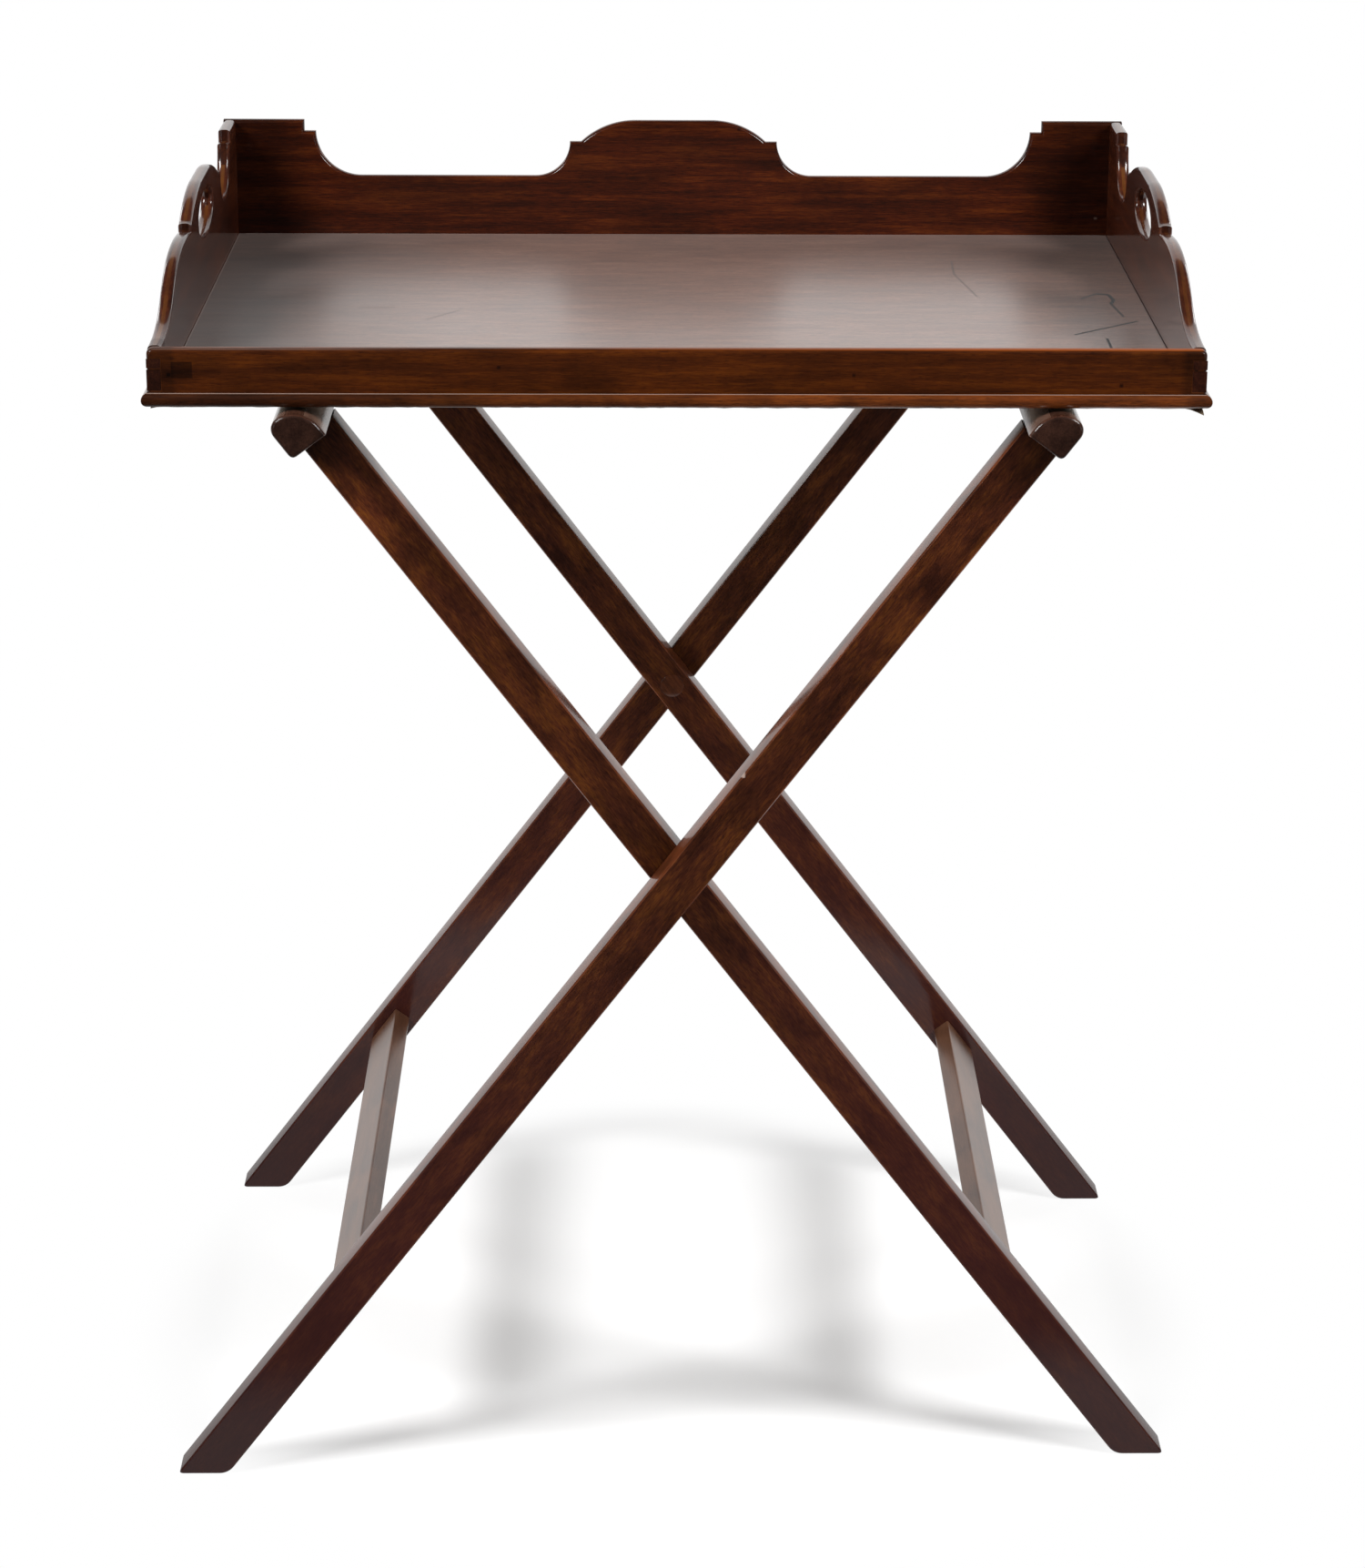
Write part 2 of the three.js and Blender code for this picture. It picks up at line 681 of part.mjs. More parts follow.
const straps = strapNames.map((name, index) => {
  const mesh = piece(`strap_${name}`, strap(), webbing);
  mesh.position.y = strapPlaces()[index];
  return mesh;
});

const butlerTray = new THREE.Group();
butlerTray.add(innerFrame, outerFrame, ...straps, tray());

export default butlerTray;
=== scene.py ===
"""A butler's tray with a shaped, dovetailed gallery, standing on its folding X stand.

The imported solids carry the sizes. The wooden ones are copied, welded and given softened arrises. The cloth,
the webbing, the tacks and the pellets over the pivots are modelled here, and the pins and washers are only
dressed. All lengths are in metres, in the frame of the part, except where a name ends in mm.
"""

from __future__ import annotations

import json
import logging
import math
from dataclasses import dataclass, replace
from enum import Enum

import bpy
from mathutils import Euler, Matrix, Vector, noise

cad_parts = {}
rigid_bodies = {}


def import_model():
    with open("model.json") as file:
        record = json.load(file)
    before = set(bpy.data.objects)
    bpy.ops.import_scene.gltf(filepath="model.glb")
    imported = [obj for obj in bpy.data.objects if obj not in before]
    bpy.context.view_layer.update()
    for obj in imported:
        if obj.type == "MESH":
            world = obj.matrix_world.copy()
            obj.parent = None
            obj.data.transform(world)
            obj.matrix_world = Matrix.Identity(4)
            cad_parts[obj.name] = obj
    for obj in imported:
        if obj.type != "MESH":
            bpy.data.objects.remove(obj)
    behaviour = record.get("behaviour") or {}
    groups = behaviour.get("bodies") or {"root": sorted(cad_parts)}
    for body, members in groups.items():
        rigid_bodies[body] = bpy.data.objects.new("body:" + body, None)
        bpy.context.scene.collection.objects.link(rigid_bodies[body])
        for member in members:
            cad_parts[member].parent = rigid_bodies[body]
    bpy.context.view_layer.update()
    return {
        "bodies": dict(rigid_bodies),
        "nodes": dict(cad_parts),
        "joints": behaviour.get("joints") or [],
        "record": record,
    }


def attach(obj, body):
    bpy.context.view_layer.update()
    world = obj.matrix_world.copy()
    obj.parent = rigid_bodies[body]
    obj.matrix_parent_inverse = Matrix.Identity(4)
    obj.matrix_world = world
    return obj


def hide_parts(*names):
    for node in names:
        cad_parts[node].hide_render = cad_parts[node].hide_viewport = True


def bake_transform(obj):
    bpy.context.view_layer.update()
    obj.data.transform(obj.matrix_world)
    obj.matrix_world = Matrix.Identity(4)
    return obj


log = logging.getLogger("butler_tray")

Colour = tuple[float, float, float, float]
Point = tuple[float, float, float]

MM = 0.001
LEG_ANGLE = math.radians(36.9)
PIVOT_HEIGHT = 0.463
FLOOR_TOP = 0.827

# The least cosine at which a face counts as facing a direction, and the gap within which two places are one.
FACING = 0.9
TOUCH = 0.01 * MM


class Grain(Enum):
    """The way the grain runs in a piece, as the turn that brings it on to the X axis."""

    ACROSS_TRAY = (0.0, 0.0, 0.0)
    TRAY_DEPTH = (0.0, 0.0, math.radians(90.0))
    INNER_LEG = (0.0, math.radians(90.0) + LEG_ANGLE, 0.0)
    OUTER_LEG = (0.0, math.radians(90.0) - LEG_ANGLE, 0.0)

    def direction(self) -> Vector:
        """The grain's direction in the part."""
        return Euler(self.value).to_matrix().inverted() @ Vector((1.0, 0.0, 0.0))


class Cut(Enum):
    """The way a face of a wooden piece was cut."""

    LONG_GRAIN = 0
    ARRIS = 1
    END_GRAIN = 2


def linear(hex_colour: str) -> Colour:
    """Turns an sRGB hex colour to linear light.

    Args:
        hex_colour: Six hex digits, such as "5A2A17".

    Returns:
        Red, green, blue and an alpha of one.
    """
    parts = [int(hex_colour[at : at + 2], 16) / 255.0 for at in (0, 2, 4)]
    light = [c / 12.92 if c <= 0.04045 else ((c + 0.055) / 1.055) ** 2.4 for c in parts]
    return (light[0], light[1], light[2], 1.0)


def grey(level: float) -> Colour:
    """A neutral colour of the given linear level."""
    return (level, level, level, 1.0)


def add_node(
    tree: bpy.types.NodeTree, kind: str, inputs: dict | None = None, **settings: object
) -> bpy.types.Node:
    """Adds a shader node, sets it up and links it.

    Args:
        tree: The material's or world's node tree.
        kind: The node's type, less the words ShaderNode that all of them start with.
        inputs: A value or another node's output for each input, by name or number.
        **settings: The node's own settings.

    Returns:
        The new node.
    """
    node = tree.nodes.new(f"ShaderNode{kind}")
    for name, value in settings.items():
        setattr(node, name, value)
    for name, value in (inputs or {}).items():
        if isinstance(value, bpy.types.NodeSocket):
            tree.links.new(value, node.inputs[name])
        else:
            node.inputs[name].default_value = value
    return node


def set_stops(node: bpy.types.Node, places: tuple[float, ...], colours: list[Colour]) -> None:
    """Places the stops of a colour ramp.

    Args:
        node: The colour ramp.
        places: Position of each stop, in rising order.
        colours: Colour of each stop.
    """
    ramp = node.color_ramp
    while len(ramp.elements) < len(places):
        ramp.elements.new(0.5)
    for element, place, colour in zip(ramp.elements, places, colours):
        element.position = place
        element.color = colour


def new_material(name: str) -> bpy.types.Material:
    """Makes a material with an empty node tree.

    Args:
        name: Its name.

    Returns:
        The material.
    """
    material = bpy.data.materials.new(name)
    material.use_nodes = True
    material.node_tree.nodes.clear()
    return material


@dataclass(frozen=True)
class Mark:
    """A repair, nail hole, stain, scratch, line of dust, painted shade or painted light on a face, in the
    part's own place.

    Without a tint it shades the wood and its polish; with one, that colour covers the wood, all of it at a
    strength of 0 and none at 1. It fades over its soft edge, and along its length over its run-out where it
    has one.
    """

    centre: Point
    half_size: Point
    strength: float
    turn: float = 0.0
    soft: float = 0.5 * MM
    run_out: float = 0.0
    tint: str = ""


def stroke(start: tuple[float, float], end: tuple[float, float], width: float, strength: float) -> Mark:
    """A straight scratch on the tray floor.

    Args:
        start: X and Y of its first end.
        end: X and Y of its other end.
        width: Its width.
        strength: The shade in its middle.

    Returns:
        The mark.
    """
    first, last = Vector((*start, FLOOR_TOP)), Vector((*end, FLOOR_TOP))
    way = last - first
    half_size = (way.length / 2.0, width / 2.0, width)
    turn = math.atan2(way.y, way.x)
    return Mark(tuple((first + last) / 2.0), half_size, strength, turn=turn, soft=0.4 * MM)


@dataclass(frozen=True)
class FrenchPolishedMahogany:
    """Old mahogany under shellac: dark red-brown, mottled along the grain, with a hard gloss at a low angle.

    The figure gives broad dark and light stripes, and streaks and fibres break them up. Clouds of old polish
    darken it unevenly, and the open pores are short dark dashes. Fibres and pores are really under 0.3 mm
    wide, too fine to show, so they are drawn 0.6 to 1 mm wide. The worn tone shows where hands have rubbed
    the arrises, and end grain drinks the polish, so it is darker and duller.
    """

    name: str
    dark: str
    middle: str
    light: str
    grain: Grain
    worn: str = "8A4A1C"
    roughness: float = 0.5
    specular: float = 0.08
    coat: float = 1.0
    coat_roughness: float = 0.12
    coat_ior: float = 1.5
    bloom: float = 0.0
    relief_mm: float = 0.01
    figure_mm: tuple[float, float] = (120.0, 9.0)
    streak_mm: tuple[float, float] = (40.0, 1.8)
    fibre_mm: tuple[float, float] = (9.0, 0.8)
    pore_mm: tuple[float, float] = (5.0, 0.6)
    cloud_mm: tuple[float, float] = (80.0, 30.0)
    streak_share: float = 0.4
    fibre_share: float = 0.3
    cloud_shade: float = 0.6
    pore_shade: float = 0.62
    pore_depth_mm: float = 0.1
    end_grain_shade: float = 0.5
    tone_stops: tuple[float, float, float] = (0.38, 0.5, 0.62)
    cloud_stops: tuple[float, float] = (0.32, 0.6)
    pore_stops: tuple[float, float] = (0.34, 0.44)
    rubbed_stops: tuple[float, float] = (0.38, 0.65)
    rubbed_shares: tuple[float, float] = (0.15, 0.65)
    roughness_range: tuple[float, float] = (-0.06, 0.1)
    marks: tuple[Mark, ...] = ()

    def material(self, cut: Cut) -> bpy.types.Material:
        """The material for one cut of the wood, made when it is first asked for."""
        name = f"{self.name}_{cut.name.lower()}"
        return bpy.data.materials.get(name) or self._build(name, cut)

    def _build(self, name: str, cut: Cut) -> bpy.types.Material:
        """Makes the material for one cut of the wood.

        Args:
            name: The material's name.
            cut: The cut.

        Returns:
            The finished material.
        """
        material = new_material(name)
        tree = material.node_tree
        place = add_node(tree, "TexCoord").outputs["Object"]
        along = add_node(tree, "Mapping", {"Vector": place, "Rotation": self.grain.value}).outputs["Vector"]
        fibre = self._noise(tree, along, self.fibre_mm, detail=2.0, distortion=0.0)
        pores = self._noise(tree, along, self.pore_mm, detail=2.0, distortion=0.0)
        clouds = self._noise(tree, along, self.cloud_mm, detail=2.0, distortion=0.5)
        open_pores = add_node(tree, "ValToRGB", {"Fac": pores})
        set_stops(open_pores, self.pore_stops, [grey(self.pore_shade), grey(1.0)])
        shade = add_node(tree, "ValToRGB", {"Fac": clouds})
        set_stops(shade, self.cloud_stops, [grey(self.cloud_shade), grey(1.0)])
        layers = [
            ("MULTIPLY", 1.0, shade.outputs["Color"]),
            ("MULTIPLY", 1.0, open_pores.outputs["Color"]),
        ]
        coat = self.coat
        if cut is Cut.ARRIS:
            rubbed = add_node(tree, "ValToRGB", {"Fac": clouds})
            set_stops(rubbed, self.rubbed_stops, [grey(share) for share in self.rubbed_shares])
            layers.append(("MIX", rubbed.outputs["Color"], linear(self.worn)))
        if cut is Cut.END_GRAIN:
            layers.append(("MULTIPLY", 1.0, grey(self.end_grain_shade)))
            coat *= self.end_grain_shade
        for mark in self.marks:
            drawn = self._mark(tree, place, mark)
            if mark.tint:
                layers.append(("MIX", drawn, linear(mark.tint)))
                continue
            # An untinted mark also scales the polish, so painted shade darkens its reflection too.
            layers.append(("MULTIPLY", 1.0, drawn))
            dulled_and_shaded = add_node(tree, "Math", {0: drawn, 1: coat}, operation="MULTIPLY", use_clamp=True)
            coat = dulled_and_shaded.outputs["Value"]
        colour = self._tone(tree, along, fibre)
        for way, factor, layer in layers:
            inputs = {"Factor": factor, "A": colour, "B": layer}
            colour = add_node(tree, "Mix", inputs, data_type="RGBA", blend_type=way).outputs["Result"]
        smoothest, roughest = (self.roughness + change for change in self.roughness_range)
        dulling = add_node(tree, "MapRange", {"Value": clouds, "To Min": smoothest, "To Max": roughest})
        pitted = add_node(
            tree,
            "Bump",
            {"Height": open_pores.outputs["Color"], "Strength": 0.04, "Distance": self.pore_depth_mm * MM},
        )
        relief = add_node(
            tree,
            "Bump",
            {"Height": fibre, "Distance": self.relief_mm * MM, "Normal": pitted.outputs["Normal"]},
        ).outputs["Normal"]
        surface = add_node(
            tree,
            "BsdfPrincipled",
            {
                "Base Color": colour,
                "Roughness": dulling.outputs["Result"],
                "Normal": relief,
                "Sheen Weight": self.bloom,
                "Sheen Roughness": 0.6,
                "IOR": 1.5,
                "Specular IOR Level": self.specular,
                "Coat Weight": coat,
                "Coat Roughness": self.coat_roughness,
                "Coat IOR": self.coat_ior,
                "Coat Normal": relief,
            },
        )
        add_node(tree, "OutputMaterial", {"Surface": surface.outputs["BSDF"]})
        return material

    def _tone(
        self, tree: bpy.types.NodeTree, along: bpy.types.NodeSocket, fibre: bpy.types.NodeSocket
    ) -> bpy.types.NodeSocket:
        """Adds the figured tone of the bare wood.

        Args:
            tree: The material's node tree.
            along: The place, with the grain laid on X.
            fibre: The fibres.

        Returns:
            The socket that carries the tone.
        """
        grained = self._noise(tree, along, self.figure_mm, detail=3.0, distortion=0.4)
        streak = self._noise(tree, along, self.streak_mm, detail=3.0, distortion=0.2)
        for share, finer in ((self.streak_share, streak), (self.fibre_share, fibre)):
            inputs = {"Factor": share, "A": grained, "B": finer}
            grained = add_node(tree, "Mix", inputs, data_type="FLOAT").outputs["Result"]
        tone = add_node(tree, "ValToRGB", {"Fac": grained})
        set_stops(tone, self.tone_stops, [linear(self.dark), linear(self.middle), linear(self.light)])
        return tone.outputs["Color"]

    def _mark(
        self, tree: bpy.types.NodeTree, place: bpy.types.NodeSocket, mark: Mark
    ) -> bpy.types.NodeSocket:
        """Adds the shape of one mark.

        Args:
            tree: The material's node tree.
            place: The place in the part.
            mark: The mark, a box with a soft edge.

        Returns:
            The socket that carries its shade, or the share that it covers if it has a tint.
        """
        fades = (1.0 / (mark.run_out or mark.soft), 1.0 / mark.soft, 1.0 / mark.soft)
        inside, outside = (1.0 - mark.strength, 0.0) if mark.tint else (mark.strength, 1.0)
        moved = add_node(tree, "VectorMath", {0: place, 1: mark.centre}, operation="SUBTRACT")
        turned = add_node(
            tree, "Mapping", {"Vector": moved.outputs["Vector"], "Rotation": (0.0, 0.0, -mark.turn)}
        )
        reach = add_node(tree, "VectorMath", {0: turned.outputs["Vector"]}, operation="ABSOLUTE")
        steps = (("SUBTRACT", mark.half_size), ("MAXIMUM", (0.0, 0.0, 0.0)), ("MULTIPLY", fades))
        for operation, value in steps:
            reach = add_node(tree, "VectorMath", {0: reach.outputs["Vector"], 1: value}, operation=operation)
        distance = add_node(tree, "VectorMath", {0: reach.outputs["Vector"]}, operation="LENGTH")
        ends = {"Value": distance.outputs["Value"], "To Min": inside, "To Max": outside}
        return add_node(tree, "MapRange", ends).outputs["Result"]

    def _noise(
        self,
        tree: bpy.types.NodeTree,
        along: bpy.types.NodeSocket,
        size_mm: tuple[float, float],
        detail: float,
        distortion: float,
    ) -> bpy.types.NodeSocket:
        """Adds noise drawn out along the grain.

        Args:
            tree: The material's node tree.
            along: The place, with the grain laid on X.
            size_mm: Length along and width across the grain of one patch of the noise.
            detail: Octaves of the noise.
            distortion: How far the noise winds.

        Returns:
            The socket that carries the noise.
        """
        length, width = (size * MM for size in size_mm)
        scale = (1.0 / length, 1.0 / width, 1.0 / width)
        stretched = add_node(tree, "Mapping", {"Vector": along, "Scale": scale})
        patches = add_node(
            tree,
            "TexNoise",
            {"Vector": stretched.outputs["Vector"], "Scale": 1.0, "Detail": detail, "Distortion": distortion},
        )
        return patches.outputs["Fac"]


@dataclass(frozen=True)
class PlainFinish:
    """A finish of one tone with fine specks of its own, such as dull metal or worn cloth."""

    name: str
    base: str
    roughness: float
    metallic: float = 0.0
    speck_mm: float = 1.0
    speck: float = 0.25
    speck_stops: tuple[float, float] = (0.35, 0.65)

    def build(self) -> bpy.types.Material:
        """Makes the material.

        Returns:
            The finished material.
        """
        material = new_material(self.name)
        tree = material.node_tree
        place = add_node(tree, "TexCoord").outputs["Object"]
        scale = 1.0 / (self.speck_mm * MM)
        specks = add_node(tree, "TexNoise", {"Vector": place, "Scale": scale, "Detail": 3.0})
        shade = add_node(tree, "ValToRGB", {"Fac": specks.outputs["Fac"]})
        set_stops(shade, self.speck_stops, [grey(1.0 - self.speck), grey(1.0)])
        layer = {"Factor": 1.0, "A": linear(self.base), "B": shade.outputs["Color"]}
        tone = add_node(tree, "Mix", layer, data_type="RGBA", blend_type="MULTIPLY").outputs["Result"]
        surface = add_node(
            tree,
            "BsdfPrincipled",
            {"Base Color": tone, "Roughness": self.roughness, "Metallic": self.metallic},
        )
        add_node(tree, "OutputMaterial", {"Surface": surface.outputs["BSDF"]})
        return material


@dataclass(frozen=True)
class WovenWebbing:
    """Flax webbing: a plain weave of buff threads with a dark line near each edge, dull and dusty.

    Its threads are really about half as wide and too fine to show, so they are drawn coarser. The gaps
    between them are dark and lie lower, and the dust lies in patches.
    """

    width: float
    name: str = "woven_flax_webbing"
    thread: str = "8C7348"
    gap: str = "3E301C"
    line: str = "5A2A22"
    thread_mm: float = 1.4
    thread_relief_mm: float = 0.3
    line_mm: float = 3.2
    line_place_share: float = 0.36
    dust_patches_across: float = 3.0
    dust_shade: float = 0.6
    dust_stops: tuple[float, float] = (0.35, 0.65)

    def build(self) -> bpy.types.Material:
        """Makes the material, which reads the strap's own UV map in metres.

        Returns:
            The finished material.
        """
        material = new_material(self.name)
        tree = material.node_tree
        place = add_node(tree, "TexCoord")
        split = add_node(tree, "SeparateXYZ", {"Vector": place.outputs["UV"]})
        turns = math.tau / (self.thread_mm * MM)
        waves = []
        for axis in ("X", "Y"):
            phase = add_node(tree, "Math", {0: split.outputs[axis], 1: turns}, operation="MULTIPLY")
            wave = add_node(tree, "Math", {0: phase.outputs["Value"]}, operation="SINE")
            raised = add_node(tree, "MapRange", {"Value": wave.outputs["Value"], "From Min": -1.0})
            waves.append(raised.outputs["Result"])
        weave = add_node(tree, "Math", dict(enumerate(waves)), operation="MAXIMUM").outputs["Value"]
        inset = add_node(tree, "Math", {0: split.outputs["Y"], 1: self.width / 2.0}, operation="SUBTRACT")
        out = add_node(tree, "Math", {0: inset.outputs["Value"]}, operation="ABSOLUTE")
        line_place = self.width * self.line_place_share
        near = {0: out.outputs["Value"], 1: line_place, 2: self.line_mm * MM / 2.0}
        edge_line = add_node(tree, "Math", near, operation="COMPARE").outputs["Value"]
        scale = self.dust_patches_across / self.width
        dust = add_node(tree, "TexNoise", {"Vector": place.outputs["Object"], "Scale": scale, "Detail": 4.0})
        dirt = add_node(tree, "ValToRGB", {"Fac": dust.outputs["Fac"]})
        set_stops(dirt, self.dust_stops, [grey(self.dust_shade), grey(1.0)])
        colour = linear(self.gap)
        for way, factor, layer in (
            ("MIX", weave, linear(self.thread)),
            ("MIX", edge_line, linear(self.line)),
            ("MULTIPLY", 1.0, dirt.outputs["Color"]),
        ):
            inputs = {"Factor": factor, "A": colour, "B": layer}
            colour = add_node(tree, "Mix", inputs, data_type="RGBA", blend_type=way).outputs["Result"]
        relief = add_node(
            tree, "Bump", {"Height": weave, "Strength": 0.5, "Distance": self.thread_relief_mm * MM}
        )
        surface = add_node(
            tree,
            "BsdfPrincipled",
            {
                "Base Color": colour,
                "Roughness": 0.9,
                "Normal": relief.outputs["Normal"],
                "Sheen Weight": 0.3,
            },
        )
        add_node(tree, "OutputMaterial", {"Surface": surface.outputs["BSDF"]})
        return material


# Grey-brown dust lies in the joints, and the same pale colour paints a highlight along the top of the front
# moulding. The legs have a purplish stain towards the feet, partly painted light from the white floor, and
# rubbed wood is bare and orange.
DUST_AND_HIGHLIGHT = "B39C90"
FOOT_STAIN_AND_FLOOR_LIGHT = "3E1B1C"
RUBBED_WOOD = "A2501C"

# The flat-sawn floor has a thick polish dulled by use: it looks brown from above and mirrors the light at a
# low angle, blurred. The strokes are, in order, a hook-shaped scratch, the long scratch and the dark stroke
# before it, and fainter ones. After them come the joint with the right board, painted shade that darkens the
# floor and its polish towards the left board and in the back corners, and the dust along the left and back
# boards.
TRAY_FLOOR = FrenchPolishedMahogany(
    "polished_tray_floor",
    "6B4433",
    "7A513C",
    "8A604B",
    Grain.ACROSS_TRAY,
    roughness=0.6,
    specular=0.9,
    coat_roughness=0.25,
    coat_ior=1.68,
    bloom=0.1,
    relief_mm=0.05,
    figure_mm=(45.0, 8.0),
    streak_mm=(11.0, 1.8),
    fibre_mm=(4.0, 1.0),
    cloud_shade=0.86,
    marks=(
        stroke((0.3016, 0.0240), (0.3144, 0.0406), 2.6 * MM, 0.2),
        stroke((0.3144, 0.0406), (0.3236, 0.0377), 4.2 * MM, 0.0),
        stroke((0.3236, 0.0377), (0.3256, 0.0201), 2.6 * MM, 0.0),
        stroke((0.3256, 0.0201), (0.3221, 0.0084), 2.6 * MM, 0.0),
        stroke((0.3221, 0.0084), (0.3267, -0.0317), 1.6 * MM, 0.1),
        stroke((0.285, -0.087), (0.335, -0.046), 2.0 * MM, 0.0),
        stroke((0.307, -0.098), (0.3065, -0.1405), 1.6 * MM, 0.0),
        stroke((-0.232, -0.008), (-0.2055, -0.008), 1.4 * MM, 0.4),
        stroke((-0.1808, -0.0446), (-0.1578, -0.0162), 1.2 * MM, 0.5),
        stroke((0.2150, 0.1500), (0.2135, 0.1060), 1.3 * MM, 0.45),
        stroke((0.2135, 0.1060), (0.2250, 0.0310), 1.2 * MM, 0.5),
        stroke((0.0620, 0.0323), (0.0780, 0.0266), 1.6 * MM, 0.5),
        Mark((0.3458, 0.0, FLOOR_TOP), (0.0003, 0.24, 0.002), 0.3, soft=0.9 * MM),
        # Painted shade: the floor and its polish darker towards the left board.
        Mark((-0.34, -0.06, FLOOR_TOP), (0.04, 0.2, 0.002), 0.36, soft=140.0 * MM),
        # Painted shade in both back corners of the floor.
        Mark((-0.3, 0.235, FLOOR_TOP), (0.06, 0.02, 0.002), 0.66, soft=110.0 * MM),
        Mark((0.3, 0.235, FLOOR_TOP), (0.06, 0.02, 0.002), 0.58, soft=130.0 * MM),
        Mark((-0.3458, 0.02, FLOOR_TOP), (0.0003, 0.22, 0.002), 0.6, soft=1.2 * MM, tint=DUST_AND_HIGHLIGHT),
        Mark((0.0, 0.2452, FLOOR_TOP), (0.34, 0.0004, 0.002), 0.45, soft=1.2 * MM, tint=DUST_AND_HIGHLIGHT),
    ),
)

# The low front rail is a deep orange-brown. Its marks are a let-in repair at the left, the darker ends, five
# nail holes, and the top edge, dusty at the left and rubbed bare at the right.
FRONT_RAIL = FrenchPolishedMahogany(
    "polished_front_rail",
    "351300",
    "461C00",
    "5A2901",
    Grain.ACROSS_TRAY,
    coat=0.5,
    marks=(
        Mark((-0.3319, -0.255, 0.8429), (0.0068, 0.004, 0.0053), 0.42),
        Mark((-0.35, -0.25, 0.84), (0.011, 0.02, 0.02), 0.62, soft=3.0 * MM),
        Mark((0.35, -0.25, 0.84), (0.008, 0.02, 0.02), 0.55, soft=5.0 * MM),
        Mark((-0.3407, -0.255, 0.8395), (0.0008, 0.002, 0.0008), 0.2, soft=1.2 * MM),
        Mark((0.298, -0.255, 0.8331), (0.0006, 0.002, 0.0006), 0.25, soft=1.2 * MM),
        Mark((0.348, -0.255, 0.8433), (0.0005, 0.002, 0.0005), 0.25, soft=1.2 * MM),
        Mark((-0.12, -0.255, 0.845), (0.0005, 0.002, 0.0005), 0.3, soft=1.2 * MM),
        Mark((0.118, -0.255, 0.84), (0.0005, 0.002, 0.0005), 0.3, soft=1.2 * MM),
        Mark(
            (-0.31, -0.2545, 0.8575),
            (0.05, 0.0006, 0.0002),
            0.5,
            soft=0.8 * MM,
            run_out=120.0 * MM,
            tint=DUST_AND_HIGHLIGHT,
        ),
        Mark((0.27, -0.25, 0.8575), (0.07, 0.0052, 0.0003), 0.4, soft=0.6 * MM, run_out=300.0 * MM),
        Mark(
            (0.27, -0.25, 0.8575),
            (0.07, 0.0052, 0.0003),
            0.3,
            soft=0.6 * MM,
            run_out=300.0 * MM,
            tint=RUBBED_WOOD,
        ),
    ),
)

# The tall back board is the reddest and darkest, with painted shade that makes it nearly black towards its
# corners, a nail hole in the crest and a fleck of dust low at the right.
BACK_BOARD = FrenchPolishedMahogany(
    "polished_back_board",
    "290900",
    "411401",
    "5A2605",
    Grain.ACROSS_TRAY,
    coat=0.6,
    marks=(
        # Painted shade, darkest in the back corners.
        Mark((-0.346, 0.245, 0.86), (0.03, 0.01, 0.06), 0.4, soft=45.0 * MM),
        Mark((0.346, 0.245, 0.86), (0.03, 0.01, 0.06), 0.4, soft=45.0 * MM),
        Mark((0.052, 0.2455, 0.912), (0.0006, 0.002, 0.0006), 0.3, soft=1.5 * MM),
        Mark((0.337, 0.2455, 0.8407), (0.0008, 0.001, 0.0004), 0.85, soft=0.8 * MM, tint=DUST_AND_HIGHLIGHT),
    ),
)

# The side boards are brown, with orange-brown edges where hands have lifted the tray. Their marks are the
# dark front end of the left one and painted shade that darkens and dulls its inner face.
SIDE_BOARD = FrenchPolishedMahogany(
    "polished_side_board",
    "341307",
    "481E0E",
    "602F16",
    Grain.TRAY_DEPTH,
    worn="6C4119",
    marks=(
        Mark((-0.35, -0.25, 0.84), (0.011, 0.02, 0.02), 0.7, soft=3.0 * MM),
        # Painted shade: the left board's inner face darker and duller.
        Mark((-0.346, 0.0, 0.86), (0.001, 0.24, 0.04), 0.75, soft=2.0 * MM),
    ),
)

# The front moulding is paler and more mottled than the rest, with painted shade to the left and a painted
# highlight, in the dust colour, along its top where it meets the rail.
FRONT_MOULDING = FrenchPolishedMahogany(
    "polished_front_moulding",
    "54270A",
    "6A320D",
    "7E4113",
    Grain.ACROSS_TRAY,
    cloud_mm=(45.0, 20.0),
    cloud_shade=0.5,
    marks=(
        # Painted shade towards the left end.
        Mark((-0.36, -0.257, 0.822), (0.12, 0.02, 0.02), 0.28, soft=380.0 * MM),
        # Painted highlight along the moulding's top, in the dust colour.
        Mark((0.0, -0.2552, 0.827), (0.36, 0.0005, 0.0006), 0.25, soft=0.9 * MM, tint=DUST_AND_HIGHLIGHT),
    ),
)

# The other mouldings are a mid brown.
LONG_MOULDING = FrenchPolishedMahogany(
    "polished_long_moulding", "40200D", "562B13", "6B3A18", Grain.ACROSS_TRAY
)
SHORT_MOULDING = replace(LONG_MOULDING, name="polished_short_moulding", grain=Grain.TRAY_DEPTH)

